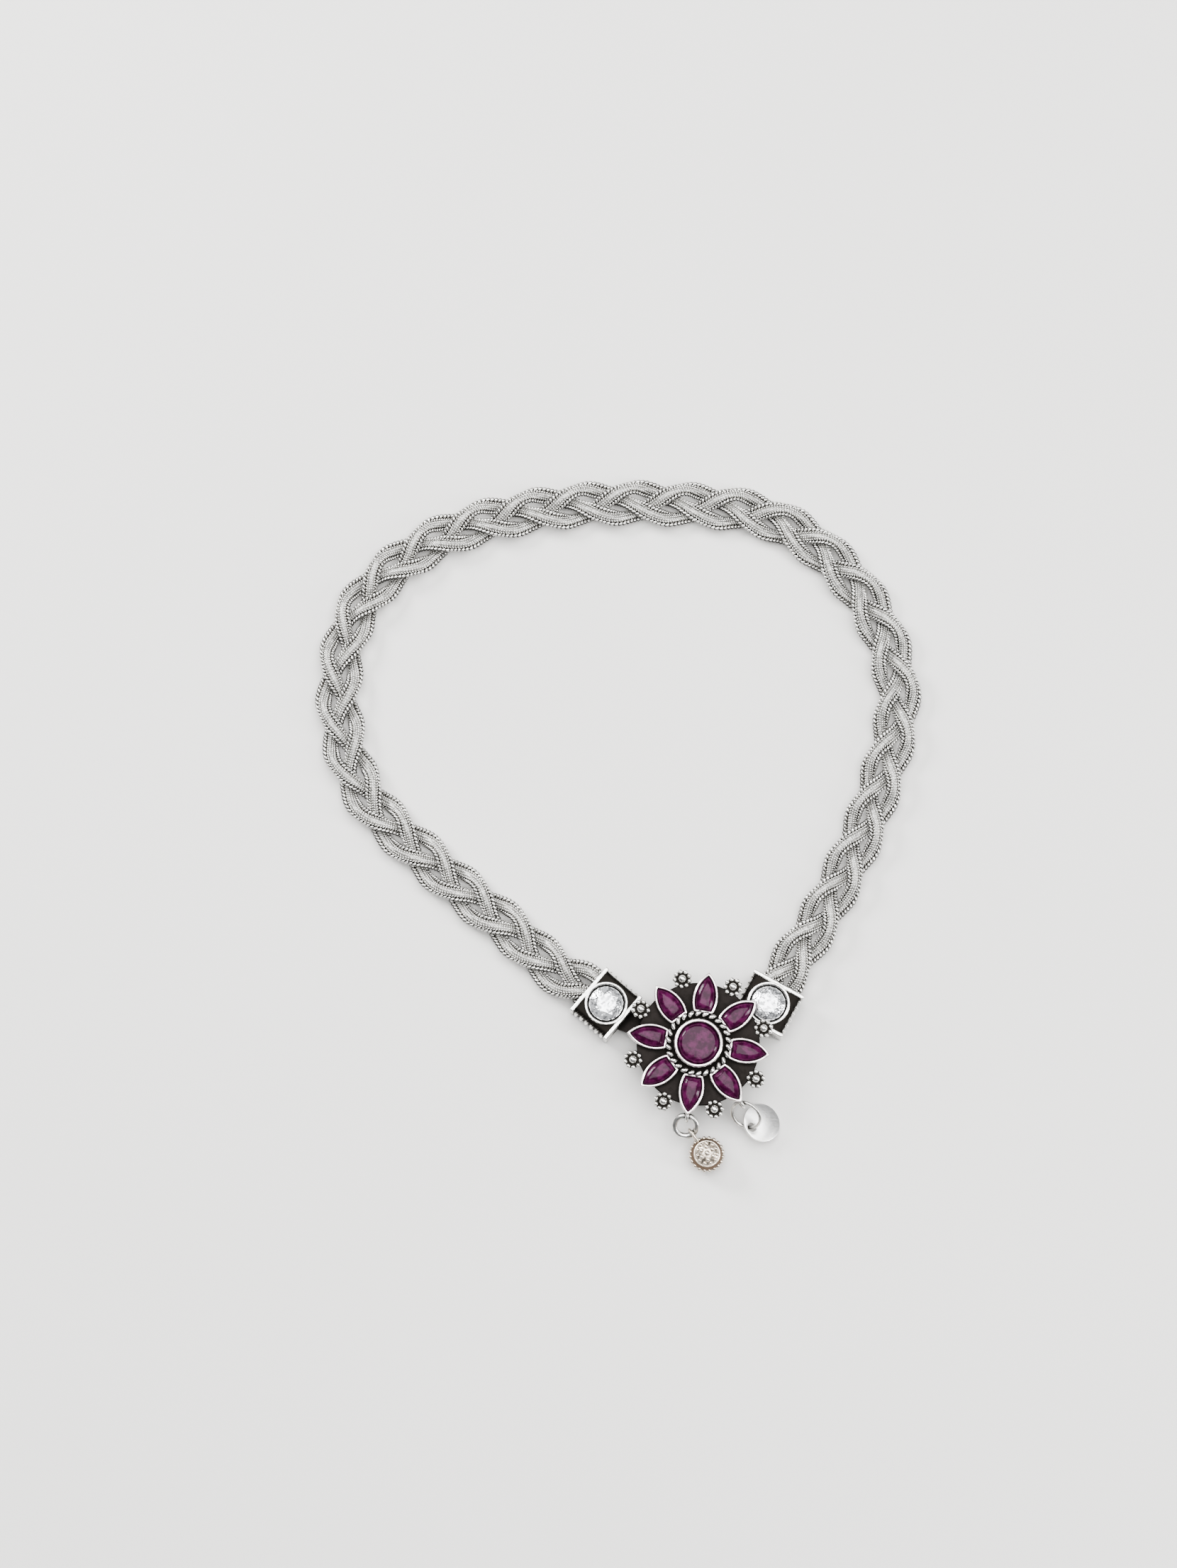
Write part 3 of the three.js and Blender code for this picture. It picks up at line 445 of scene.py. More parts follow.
# All these silver finishes darken by ambient occlusion as well as by oxide: painted shade in crevices and
# between parts
chain_finish = relief_silver("woven_silver_chain", SILVER, OXIDE_AND_SHADE, 0.3)
cap_finish = relief_silver("oxidised_shaded_cap_silver", SILVER, OXIDE_AND_SHADE, 0.26)
cast_finish = oxidised_and_shaded_silver("oxidised_shaded_cast_silver", SILVER, OXIDE_AND_SHADE, 0.8 * MM, 0.28)
back_finish = oxidised_and_shaded_silver("dark_cast_back", (0.022, 0.019, 0.018), (0.012, 0.011, 0.010), 1.6 * MM, 0.5)
rim_finish = oxidised_and_shaded_silver("bright_setting_rims", ROSE_SILVER, OXIDE_AND_SHADE, 0.35 * MM, 0.22, 0.5, 0.85, 0.6 * MM)
bell_finish = relief_silver("warm_bell_silver", WARM_SILVER, BELL_BROWN, 0.3)
disc_finish = polished_silver("polished_disc_silver", (0.96, 0.955, 0.94), 0.28, (1, 7, 1))
ruby_finish = ruby_glass("wine_red_glass", DEEP_RUBY, LIGHT_RUBY)
clear_finish = clear_glass("clear_brilliant", 0.29 * MM, PAINTED_DARK_REFLECTION, PAINTED_LIGHT_REFLECTION)


# Making pieces


def edges_at(verts):
    """The edges at some vertices, each once and in the vertices' order."""
    return list(dict.fromkeys(edge for vert in verts for edge in vert.link_edges))


def faces_at(verts):
    """The faces at some vertices, each once and in the vertices' order."""
    return list(dict.fromkeys(face for vert in verts for face in vert.link_faces))


def verts_among(drawn):
    return [part for part in drawn if isinstance(part, bmesh.types.BMVert)]


def mesh_piece(name, shape, finish, nodes=(), smooth_angle=40, place=None):
    """Turns a bmesh into a smoothed piece that rides on the body and stands for the given nodes."""
    if place is not None:
        bmesh.ops.transform(shape, matrix=place, verts=shape.verts)
    mesh = bpy.data.meshes.new(name)
    shape.to_mesh(mesh)
    shape.free()
    mesh.shade_smooth()
    if smooth_angle is not None:
        mesh.set_sharp_from_angle(angle=math.radians(smooth_angle))
    mesh.materials.append(finish)
    piece = bpy.data.objects.new(name, mesh)
    bpy.context.scene.collection.objects.link(piece)
    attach(piece, BODY)
    if nodes:
        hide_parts(*nodes)


def spun(shape, parts, steps, before):
    """Spins parts once round Z, welds the seam and returns the vertices that were not there before."""
    bmesh.ops.spin(
        shape, geom=parts, cent=(0, 0, 0), axis=(0, 0, 1), angle=2 * math.pi, steps=steps, use_merge=True
    )
    made = [vert for vert in shape.verts if vert not in before]
    bmesh.ops.remove_doubles(shape, verts=made, dist=WELD)
    return [vert for vert in shape.verts if vert not in before]


def turn_profile(shape, profile, steps, place=None):
    """Spins a profile of (radius, height) pairs about Z into a closed skin."""
    before = set(shape.verts)
    points = [shape.verts.new((radius, 0, height)) for radius, height in profile]
    edges = [shape.edges.new(pair) for pair in zip(points, points[1:])]
    if profile[0][0] > 0:
        edges.append(shape.edges.new((points[-1], points[0])))
    made = spun(shape, points + edges, steps, before)
    bmesh.ops.recalc_face_normals(shape, faces=faces_at(made))
    if place is not None:
        bmesh.ops.transform(shape, matrix=place, verts=made)


def add_ball(shape, radius, place, stretch=(1, 1, 1), detail=2):
    size = Matrix.Diagonal((*stretch, 1))
    bmesh.ops.create_icosphere(shape, subdivisions=detail, radius=radius, matrix=place @ size)


def add_link(shape, radius, wire, place, steps=40, sides=12, stretch=1.0):
    """A round or oval wire ring in the plane of X and Y, with its middle at the origin of place."""
    before = set(shape.verts)
    section = Matrix.Translation((radius, 0, 0)) @ Matrix.Rotation(math.pi / 2, 4, "X")
    circle = bmesh.ops.create_circle(shape, segments=sides, radius=wire, matrix=section)["verts"]
    made = spun(shape, circle + edges_at(circle), steps, before)
    for vert in made:
        reach = math.hypot(vert.co.x, vert.co.y)
        offset = reach - radius
        vert.co.y = vert.co.y / reach * (radius * stretch + offset)
    bmesh.ops.recalc_face_normals(shape, faces=faces_at(made))
    bmesh.ops.transform(shape, matrix=place, verts=made)


def set_relief(shape, measure, foot=0.0):
    """Writes each vertex's height within its wire, from foot at its lowest place to 1 on its crest."""
    layer = shape.verts.layers.float.new("relief")
    values = {vert: measure(vert.co) for vert in shape.verts}
    low, high = min(values.values()), max(values.values())
    for vert, value in values.items():
        vert[layer] = foot + (1 - foot) * (value - low) / (high - low)


# Chain and rope, made straight along X and bent along a path


def slanted_bead(shape, size, slant, place, sides=6, rings=4):
    """One oval bead or link that lies slanted across a row along X."""
    turn = Matrix.Rotation(slant, 4, "Z")
    stretch = Matrix.Diagonal((*size, 1))
    matrix = Matrix.Translation(place) @ turn @ stretch
    bmesh.ops.create_uvsphere(shape, u_segments=sides, v_segments=rings, radius=0.5, matrix=matrix)


def rope_unit(bead, pitch, foot, sides=8, rings=5):
    """One bead of a twisted rope: the short stretch of wire that passes over its top."""
    shape = bmesh.new()
    slanted_bead(shape, bead, ROPE_SLANT, (pitch / 2, 0, 0), sides, rings)
    set_relief(shape, lambda point: abs(point.z), foot)
    return shape


def band_unit():
    """One row of short links across the band, slanted one way and the other."""
    shape = bmesh.new()
    row_width = BAND_WIDTH / BAND_ROWS
    for row in range(BAND_ROWS):
        across = (row + 0.5) * row_width - BAND_WIDTH / 2
        slant = LINK_SLANT if row % 2 else -LINK_SLANT
        slanted_bead(shape, (LINK_LENGTH, LINK_WIDTH, BAND_THICKNESS), slant, (BAND_PITCH / 2, across, 0))
    set_relief(shape, lambda point: abs(point.z), BAND_BODY_TONE)
    return shape


def bar_unit(width, thickness, tone):
    """A short length of an oval bar along X, with one relief value all over."""
    shape = bmesh.new()
    stretch = Matrix.Rotation(math.pi / 2, 4, "Y") @ Matrix.Diagonal((thickness / 2, width / 2, 1, 1))
    circle = bmesh.ops.create_circle(shape, segments=BAR_SIDES, radius=1, matrix=stretch)["verts"]
    drawn = bmesh.ops.extrude_edge_only(shape, edges=edges_at(circle))["geom"]
    bmesh.ops.translate(shape, verts=verts_among(drawn), vec=(BAR_PITCH, 0, 0))
    layer = shape.verts.layers.float.new("relief")
    for vert in shape.verts:
        vert[layer] = tone
    return shape


def bent_along(path, length, unit, pitch):
    """Repeats a unit along X for the path's length and bends the row along the path. Returns its mesh."""
    mesh = bpy.data.meshes.new("unit")
    unit.to_mesh(mesh)
    unit.free()
    row = bpy.data.objects.new("row", mesh)
    bpy.context.scene.collection.objects.link(row)
    count = round(length / pitch)
    repeat = row.modifiers.new("repeat", "ARRAY")
    repeat.count = count
    repeat.use_relative_offset = False
    repeat.use_constant_offset = True
    repeat.constant_offset_displace = (length / count, 0, 0)
    repeat.use_merge_vertices = True
    repeat.merge_threshold = ROW_WELD
    bend = row.modifiers.new("bend", "CURVE")
    bend.object = path
    bend.deform_axis = "POS_X"
    graph = bpy.context.evaluated_depsgraph_get()
    bent = bpy.data.meshes.new_from_object(row.evaluated_get(graph))
    bpy.data.objects.remove(row)
    bpy.data.meshes.remove(mesh)
    return bent


def path_curve(points, tilts, closed=False):
    curve = bpy.data.curves.new("path", "CURVE")
    curve.dimensions = "3D"
    curve.twist_mode = "Z_UP"
    spline = curve.splines.new("POLY")
    spline.points.add(len(points) - 1)
    for target, point, tilt in zip(spline.points, points, tilts):
        target.co = (*point, 1)
        target.tilt = tilt
    spline.use_cyclic_u = closed
    path = bpy.data.objects.new("path", curve)
    bpy.context.scene.collection.objects.link(path)
    return path


def polyline_length(points):
    return sum((after - before).length for before, after in zip(points, points[1:]))


# The braid


def cap_frame(side):
    """The cap's middle in plan and the direction in which it points, towards the flower."""
    low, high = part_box(f"cap_stone_{side}")
    middle = (low + high) / 2
    middle.z = 0
    return middle, at_heading(CAP_HEADINGS[side], 1)


def smooth_span(p0, p1, p2, p3):
    """A smooth span from p1 to p2 with centripetal spacing, as a function of its share from 0 to 1."""
    d0, d1, d2 = (math.sqrt((b - a).length) for a, b in ((p0, p1), (p1, p2), (p2, p3)))
    t1 = ((p1 - p0) / d0 - (p2 - p0) / (d0 + d1) + (p2 - p1) / d1) * d1
    t2 = ((p2 - p1) / d1 - (p3 - p1) / (d1 + d2) + (p3 - p2) / d2) * d1
    c2 = -3 * p1 + 3 * p2 - 2 * t1 - t2
    c3 = 2 * p1 - 2 * p2 + t1 + t2
    return lambda share: p1 + t1 * share + c2 * share**2 + c3 * share**3


def braid_line():
    """Closely spaced points of the braid's middle line in plan."""
    left, left_way = cap_frame("left")
    right, right_way = cap_frame("right")
    stops = [left - left_way * BRAID_END_BEHIND_CAP]
    stops.append(stops[0] - left_way * BRAID_LEAD_IN)
    stops += [Vector((x * MM, y * MM, 0)) for x, y in ROUTE]
    last = right - right_way * BRAID_END_BEHIND_CAP
    stops += [last - right_way * BRAID_LEAD_IN, last]
    stops = [2 * stops[0] - stops[1], *stops, 2 * stops[-1] - stops[-2]]
    points = []
    for index in range(1, len(stops) - 2):
        span = smooth_span(*stops[index - 1 : index + 3])
        points += [span(step / SPAN_STEPS) for step in range(SPAN_STEPS)]
    points.append(stops[-2])
    return points


def evenly_spaced(points, count):
    """count + 1 points at equal distances along a polyline."""
    length = polyline_length(points)
    spaced = [points[0].copy()]
    walked = 0.0
    for before, after in zip(points, points[1:]):
        step = (after - before).length
        while len(spaced) <= count and walked + step >= len(spaced) * length / count - 1e-12:
            share = (len(spaced) * length / count - walked) / step
            spaced.append(before.lerp(after, share))
        walked += step
    if len(spaced) <= count:
        spaced.append(points[-1].copy())
    return spaced


def strand_path(line, length, turn_share):
    """One strand's middle line, which swings, rises and rolls along the line of a three-strand plait."""
    sixths = round(length / (PLAIT_PITCH / 6))
    count = len(line) - 1
    points = []
    tilts = []
    for index, middle in enumerate(line):
        ahead = (line[min(index + 1, count)] - line[max(index - 1, 0)]).normalized()
        sideways = UP.cross(ahead)
        phase = sixths * math.pi / 3 * index / count + turn_share * 2 * math.pi
        from_end = min(index, count - index) / count * length
        share = min(from_end / BRAID_RAMP, 1)
        share = share * share * (3 - 2 * share)
        height = BRAID_END_HEIGHT + (BRAID_REST_HEIGHT - BRAID_END_HEIGHT) * share
        offset = sideways * (PLAIT_SWING * math.sin(phase))
        points.append(middle + offset + UP * (height + PLAIT_LIFT * math.sin(2 * phase)))
        tilts.append(PLAIT_ROLL * math.cos(3 * phase))
    return points, tilts


def edge_rope_unit():
    return rope_unit(EDGE_ROPE_BEAD, EDGE_ROPE_PITCH, EDGE_ROPE_FOOT)


def strand_rows():
    """The rows that make one strand: each a unit, the unit's pitch and its offset across the strand."""
    return [
        (band_unit, BAND_PITCH, 0),
        (edge_rope_unit, EDGE_ROPE_PITCH, EDGE_ROPE_OFFSET),
        (edge_rope_unit, EDGE_ROPE_PITCH, -EDGE_ROPE_OFFSET),
        # The band's body at BAND_BODY_TONE and the black core fill the gaps between links and ropes: oxide,
        # and painted shade of the strand's depths
        (lambda: bar_unit(BAND_BODY_WIDTH, BAND_BODY_THICKNESS, BAND_BODY_TONE), BAR_PITCH, 0),
        (lambda: bar_unit(CORE_WIDTH, CORE_THICKNESS, 0.0), BAR_PITCH, 0),
    ]


def braid_strand(number, line, length):
    points, tilts = strand_path(line, length, (number - 1) / 3)
    path = path_curve(points, tilts)
    strand_length = polyline_length(points)
    shape = bmesh.new()
    for make_unit, pitch, offset in strand_rows():
        unit = make_unit()
        bmesh.ops.translate(unit, verts=unit.verts, vec=(0, offset, 0))
        row = bent_along(path, strand_length, unit, pitch)
        shape.from_mesh(row)
        bpy.data.meshes.remove(row)
    bmesh.ops.holes_fill(shape, edges=[edge for edge in shape.edges if edge.is_boundary])
    bpy.data.objects.remove(path)
    nodes = [f"braid_strand_{number}"]
    mesh_piece(f"woven_strand_{number}", shape, chain_finish, nodes, None)


def braid():
    points = braid_line()
    length = polyline_length(points)
    line = evenly_spaced(points, round(length / PLAIT_PITCH * POINTS_PER_PITCH))
    for number in (1, 2, 3):
        braid_strand(number, line, length)


# End caps


def face_towards(shape, direction):
    """The face that lies furthest in a direction and looks that way."""
    looking = [face for face in shape.faces if face.normal.dot(direction) > 0.9]
    return max(looking, key=lambda face: face.calc_center_median().dot(direction))


def pulled(shape, face):
    """Extrudes a face in place and returns the new one. The old one stays only where it was a lone face."""
    inner = any(len(edge.link_faces) > 1 for edge in face.edges)
    drawn = bmesh.ops.extrude_face_region(shape, geom=[face])["geom"]
    if inner:
        bmesh.ops.delete(shape, geom=[face], context="FACES_ONLY")
    return next(part for part in drawn if isinstance(part, bmesh.types.BMFace))


def sink_pocket(shape, direction, half_width, half_height, middle, depth):
    """Insets the face that looks in a direction, shapes the inset to a rectangle and pushes it in."""
    face = face_towards(shape, direction)
    bmesh.ops.inset_region(shape, faces=[face], thickness=CAP_POCKET_INSET, use_even_offset=True)
    for vert in face.verts:
        vert.co.x = math.copysign(half_width, vert.co.x)
        vert.co.z = middle + math.copysign(half_height, vert.co.z - middle)
    bmesh.ops.remove_doubles(shape, verts=face.verts[:], dist=CLOSE)
    sizes = (half_width, half_height, middle)
    face = next(face for face in shape.faces if all(on_rectangle(vert, *sizes) for vert in face.verts))
    face = pulled(shape, face)
    bmesh.ops.translate(shape, verts=face.verts[:], vec=direction * -depth)


def on_rectangle(vert, half_width, half_height, middle):
    return abs(abs(vert.co.x) - half_width) < CLOSE and abs(abs(vert.co.z - middle) - half_height) < CLOSE


def cap_section(half_width, height, shoulder):
    """The outline of a section through the cap: a flat foot, upright sides and rounded shoulders."""
    right = [(half_width, 0.0)]
    for step in range(CAP_SHOULDER_STEPS + 1):
        angle = math.pi / 2 * step / CAP_SHOULDER_STEPS
        inward = shoulder * (1 - math.cos(angle))
        right.append((half_width - inward, height - shoulder * (1 - math.sin(angle))))
    return right + [(-x, z) for x, z in reversed(right)]


def cap_block():
    """The cap's body with its two end plates, drawn out along Y in steps, its pocket and its slot."""
    shape = bmesh.new()
    number = shape.verts.layers.int.new("number")
    back = -CAP_LENGTH / 2
    body = (CAP_HALF_WIDTH, CAP_HEIGHT, CAP_SHOULDER)
    plate = (CAP_HALF_WIDTH + CAP_PLATE_OVERHANG, CAP_HEIGHT + CAP_PLATE_RISE, CAP_PLATE_CORNER)
    inner = back + CAP_PLATE
    stations = [(back, plate), (inner, plate), (inner, body), (-inner, body), (-inner, plate), (-back, plate)]
    face = shape.faces.new([shape.verts.new((x, back, z)) for x, z in cap_section(*plate)])
    for index, vert in enumerate(face.verts):
        vert[number] = index
    for along, section in stations[1:]:
        face = pulled(shape, face)
        outline = cap_section(*section)
        for vert in face.verts:
            vert.co = (outline[vert[number]][0], along, outline[vert[number]][1])
    bmesh.ops.recalc_face_normals(shape, faces=shape.faces)
    sink_pocket(shape, Vector((0, -1, 0)), CAP_POCKET[0], CAP_POCKET[1], CAP_POCKET_MIDDLE, CAP_POCKET[2])
    sink_pocket(shape, Vector((0, 1, 0)), CAP_SLOT[0], CAP_SLOT[1], CAP_SLOT_MIDDLE, CAP_SLOT[2])
    corners = [edge for edge in shape.edges if edge.is_convex and edge.calc_face_angle(0) > SHARP]
    bmesh.ops.bevel(
        shape,
        geom=[edge for edge in corners if on_plate(edge)],
        offset=CAP_RIM_BEVEL,
        segments=3,
        profile=0.5,
        affect="EDGES",
        material=-1,
        clamp_overlap=True,
    )
    return shape


def on_plate(edge):
    """Whether an edge lies on the outside of an end plate."""
    return all(abs(vert.co.x) > CAP_HALF_WIDTH or vert.co.z > CAP_HEIGHT for vert in edge.verts)


def end_cap(side):
    shape = cap_block()
    middle, _ = cap_frame(side)
    back = -CAP_LENGTH / 2 + CAP_PLATE
    pitch = (CAP_LENGTH - 2 * CAP_PLATE) / CAP_RIBS
    stretch = (1, CAP_RIB_WIDTH / CAP_RIB_LENGTH, 1)
    for across in (-1, 1):
        for drop in CAP_RIB_DROPS:
            for index in range(CAP_RIBS):
                reach = across * (CAP_HALF_WIDTH - CAP_RIB_SINK)
                place = Vector((reach, back + (index + 0.5) * pitch, CAP_HEIGHT - drop))
                add_ball(shape, CAP_RIB_LENGTH / 2, Matrix.Translation(place), stretch)
    top = [face for face in shape.faces if face.normal.z > 0.9 and face.calc_area() > CAP_TOP_LEAST_AREA]
    bmesh.ops.delete(shape, geom=top, context="FACES_ONLY")
    top_sheet(shape)
    turn_profile(shape, cap_seat_profile(), 64)
    mark_proud(shape, proud_of_cap)
    place = placed(middle, (0, 0, CAP_HEADINGS[side] - 90))
    mesh_piece(f"cast_end_cap_{side}", shape, cap_finish, [f"end_cap_{side}"], 35, place)


def mark_proud(shape, stands_proud):
    """Writes the relief of a cast piece: 1 where it stands proud, and 0 in its oxidised ground."""
    layer = shape.verts.layers.float.new("relief")
    for vert in shape.verts:
        vert[layer] = 1.0 if stands_proud(vert.co) else 0.0


def proud_of_cap(point):
    """Whether a point lies on a rib, an end plate or the stone's rim."""
    in_seat = math.hypot(point.x, point.y) < CAP_STONE_RADIUS + 1.5 * STONE_GAP
    return not in_seat and (abs(point.x) > CAP_HALF_WIDTH + CLOSE or point.z > CAP_HEIGHT + CLOSE)


def cap_seat_profile():
    """The stone's cup with its rim, from the axis out, up over the rim and down the seat to the axis."""
    outer = CAP_COLLAR_RADIUS
    rim = outer - CAP_COLLAR_RIM
    seat = CAP_STONE_RADIUS + STONE_GAP
    shoulder = CAP_GIRDLE - CAP_SEAT_SHOULDER
    bottom = shoulder - CAP_STONE_PAVILION
    return [
        (0, bottom - CAP_SEAT_WALL),
        (0.4 * MM, bottom - CAP_SEAT_WALL),
        (seat, CAP_HEIGHT - 0.22 * MM),
        (outer, CAP_HEIGHT - 0.2 * MM),
        (outer, CAP_COLLAR_TOP - 0.16 * MM),
        (outer - 0.05 * MM, CAP_COLLAR_TOP - 0.05 * MM),
        (outer - 0.15 * MM, CAP_COLLAR_TOP),
        (rim + 0.12 * MM, CAP_COLLAR_TOP - 0.01 * MM),
        (rim + 0.03 * MM, CAP_COLLAR_TOP - 0.07 * MM),
        (rim, CAP_COLLAR_TOP - 0.2 * MM),
        (seat, CAP_GIRDLE - 0.05 * MM),
        (seat, shoulder),
        (0.25 * MM, bottom),
        (0, bottom),
    ]


def top_sheet(shape):
    """Closes the cap's open top round the stone's collar."""
    rim = [edge for edge in shape.edges if edge.is_boundary]
    centre = Matrix.Translation((0, 0, CAP_HEIGHT))
    radius = CAP_STONE_RADIUS + 2 * STONE_GAP
    hole = bmesh.ops.create_circle(shape, segments=32, radius=radius, matrix=centre)["verts"]
    bmesh.ops.triangle_fill(shape, use_beauty=True, edges=rim + edges_at(hole))


def brilliant(shape, radius, table, crown, pavilion, girdle):
    """A round cut stone with its girdle at height 0, from its table down to its point."""
    rings = [
        (8, table, crown, 0.0),
        (8, (radius + table) / 2 * 1.02, crown * 0.58, 0.5),
        (16, radius, 0.0, 0.0),
        (16, radius, -girdle, 0.0),
        (8, radius * 0.5, -pavilion * 0.55, 0.5),
        (1, 0.0, -pavilion, 0.0),
    ]
    made = []
    for count, reach, height, turn in rings:
        for index in range(count):
            angle = (index + turn) * 2 * math.pi / count
            made.append(shape.verts.new((math.cos(angle) * reach, math.sin(angle) * reach, height)))
    bmesh.ops.convex_hull(shape, input=made)
    bmesh.ops.dissolve_limit(shape, angle_limit=math.radians(1), verts=shape.verts, edges=shape.edges)


def cap_stone(side):
    shape = bmesh.new()
    brilliant(
        shape, CAP_STONE_RADIUS, CAP_STONE_TABLE, CAP_STONE_CROWN, CAP_STONE_PAVILION, CAP_STONE_GIRDLE
    )
    middle, _ = cap_frame(side)
    place = placed(middle + UP * CAP_GIRDLE, (0, 0, CAP_HEADINGS[side] - 90))
    mesh_piece(f"clear_stone_{side}", shape, clear_finish, [f"cap_stone_{side}"], 2, place)


# Flower


def leaf_outline(inset, count=16):
    """Half a leaf along +X as (x, half width) pairs: an arc from the blunt inner end to the pointed tip."""
    arc_radius = (PETAL_HALF_LENGTH**2 + (PETAL_WIDTH / 2) ** 2) / PETAL_WIDTH
    arc_centre = arc_radius - PETAL_WIDTH / 2
    start = PETAL_START + inset
    tip = PETAL_MIDDLE + math.sqrt((arc_radius - inset) ** 2 - arc_centre**2)
    pairs = []
    for step in range(count + 1):
        x = start + (tip - start) * step / count
        pairs.append((x, math.sqrt((arc_radius - inset) ** 2 - (x - PETAL_MIDDLE) ** 2) - arc_centre))
    return pairs


def leaf_face(shape, inset, height, count=16):
    pairs = leaf_outline(inset, count)
    right = [(x, -half) for x, half in pairs[:-1]]
    left = [(x, half) for x, half in reversed(pairs[:-1])]
    outline = [*right, (pairs[-1][0], 0), *left]
    return shape.faces.new([shape.verts.new((x, y, height)) for x, y in outline])


def drawn_up(shape, face, rise):
    """Draws a face straight up by rise, leaving walls, and returns the moved face."""
    face = pulled(shape, face)
    bmesh.ops.translate(shape, verts=face.verts[:], vec=(0, 0, rise))
    return face


def inset_leaf(shape, face, inset, rise):
    """Insets a leaf face and moves it up by rise."""
    bmesh.ops.inset_region(shape, faces=[face], thickness=inset, depth=rise, use_even_offset=True)


def petal_place(index):
    return placed((0, 0, 0), (0, 0, FIRST_PETAL + index * 360 / PETALS))


def petal_collars():
    shape = bmesh.new()
    for index in range(PETALS):
        petal = bmesh.new()
        floor = leaf_face(petal, 0, PLATE_UNDERSIDE)
        top = drawn_up(petal, floor, PETAL_RIM - PLATE_UNDERSIDE - sum(rise for _, rise in PETAL_ROUNDING))
        for width, rise in PETAL_ROUNDING:
            inset_leaf(petal, top, width, rise)
        inset_leaf(petal, top, PETAL_WALL - 2 * sum(width for width, _ in PETAL_ROUNDING), 0)
        for width, rise in reversed(PETAL_ROUNDING):
            inset_leaf(petal, top, width, -rise)
        drawn_up(petal, top, PLATE_TOP - top.verts[0].co.z)
        bmesh.ops.recalc_face_normals(petal, faces=petal.faces)
        bmesh.ops.transform(petal, matrix=petal_place(index), verts=petal.verts)
        add_bmesh(shape, petal)
    mesh_piece("petal_collars", shape, rim_finish, smooth_angle=50)


def add_bmesh(shape, part):
    """Adds a finished part to a shape."""
    mesh = bpy.data.meshes.new("part")
    part.to_mesh(mesh)
    part.free()
    shape.from_mesh(mesh)
    bpy.data.meshes.remove(mesh)


def petal_stone(index):
    """A leaf-shaped stone: a wall up to the girdle, three rows of crown facets and a small table."""
    shape = bmesh.new()
    girdle = leaf_face(shape, PETAL_WALL + COLLAR_GAP, PLATE_TOP + STONE_GAP, 9)
    top = drawn_up(shape, girdle, PETAL_STONE_WALL)
    for share, rise in PETAL_CROWN:
        top = drawn_up(shape, top, rise)
        for vert in top.verts:
            vert.co.x = PETAL_MIDDLE + (vert.co.x - PETAL_MIDDLE) * share
            vert.co.y *= share
    bmesh.ops.recalc_face_normals(shape, faces=shape.faces)
    nodes = [f"petal_stone_{index + 1}"]
    mesh_piece(f"leaf_stone_{index + 1}", shape, ruby_finish, nodes, 20, petal_place(index))


def centre_stone():
    shape = bmesh.new()
    top = CENTRE_COLLAR_TOP
    profile = [
        (0, top - 1.1 * MM),
        (CENTRE_STONE_RADIUS, top - 1.1 * MM),
        (CENTRE_STONE_RADIUS, top - 0.42 * MM),
        (CENTRE_STONE_RADIUS - 0.1 * MM, top - 0.26 * MM),
        (CENTRE_TABLE_RADIUS + 0.16 * MM, top - 0.04 * MM),
        (CENTRE_TABLE_RADIUS, top + 0.04 * MM),
        (0, top + 0.08 * MM),
    ]
    turn_profile(shape, profile, 64)
    mesh_piece("round_centre_stone", shape, ruby_finish, ["centre_stone"], 26)


def flower_back():
    """The calyx and the dark plate behind the petals."""
    shape = bmesh.new()
    profile = [
        (0, 0),
        (CALYX_BACK_RADIUS, 0),
        (CALYX_BACK_RADIUS + 0.25 * MM, 0.15 * MM),
        (CALYX_NECK_RADIUS, CALYX_NECK_HEIGHT),
        (CALYX_NECK_RADIUS, PLATE_UNDERSIDE - 0.4 * MM),
        (PLATE_RADIUS - 0.4 * MM, PLATE_UNDERSIDE),
        (PLATE_RADIUS, PLATE_UNDERSIDE + 0.15 * MM),
        (PLATE_RADIUS, PLATE_TOP - 0.1 * MM),
        (PLATE_RADIUS - 0.1 * MM, PLATE_TOP),
        (0, PLATE_TOP),
    ]
    turn_profile(shape, profile, 96)
    for side in CAP_HEADINGS:
        tongue(shape, side)
    mesh_piece("flower_back", shape, back_finish, ["flower_head"])


def tongue(shape, side):
    """A plain tongue along its cap's slot, bent in plan to the calyx."""
    middle, way = cap_frame(side)
    front = middle + way * (CAP_LENGTH / 2)
    across = UP.cross(way) * TONGUE_HALF_WIDTH
    tip = front - way * TONGUE_REACH
    elbow = front + way * TONGUE_ELBOW
    root = front.normalized() * (CALYX_BACK_RADIUS / 2)
    root_across = UP.cross(-front.normalized()) * TONGUE_HALF_WIDTH
    outline = [
        tip - across,
        elbow - across,
        root - root_across,
        root + root_across,
        elbow + across,
        tip + across,
    ]
    face = shape.faces.new([shape.verts.new(point + UP * TONGUE_LOW) for point in outline])
    walls = bmesh.ops.extrude_face_region(shape, geom=[face])["geom"]
    raised = verts_among(walls)
    bmesh.ops.translate(shape, verts=raised, vec=(0, 0, TONGUE_HIGH - TONGUE_LOW))
    bmesh.ops.recalc_face_normals(shape, faces=[*faces_at(raised), face])


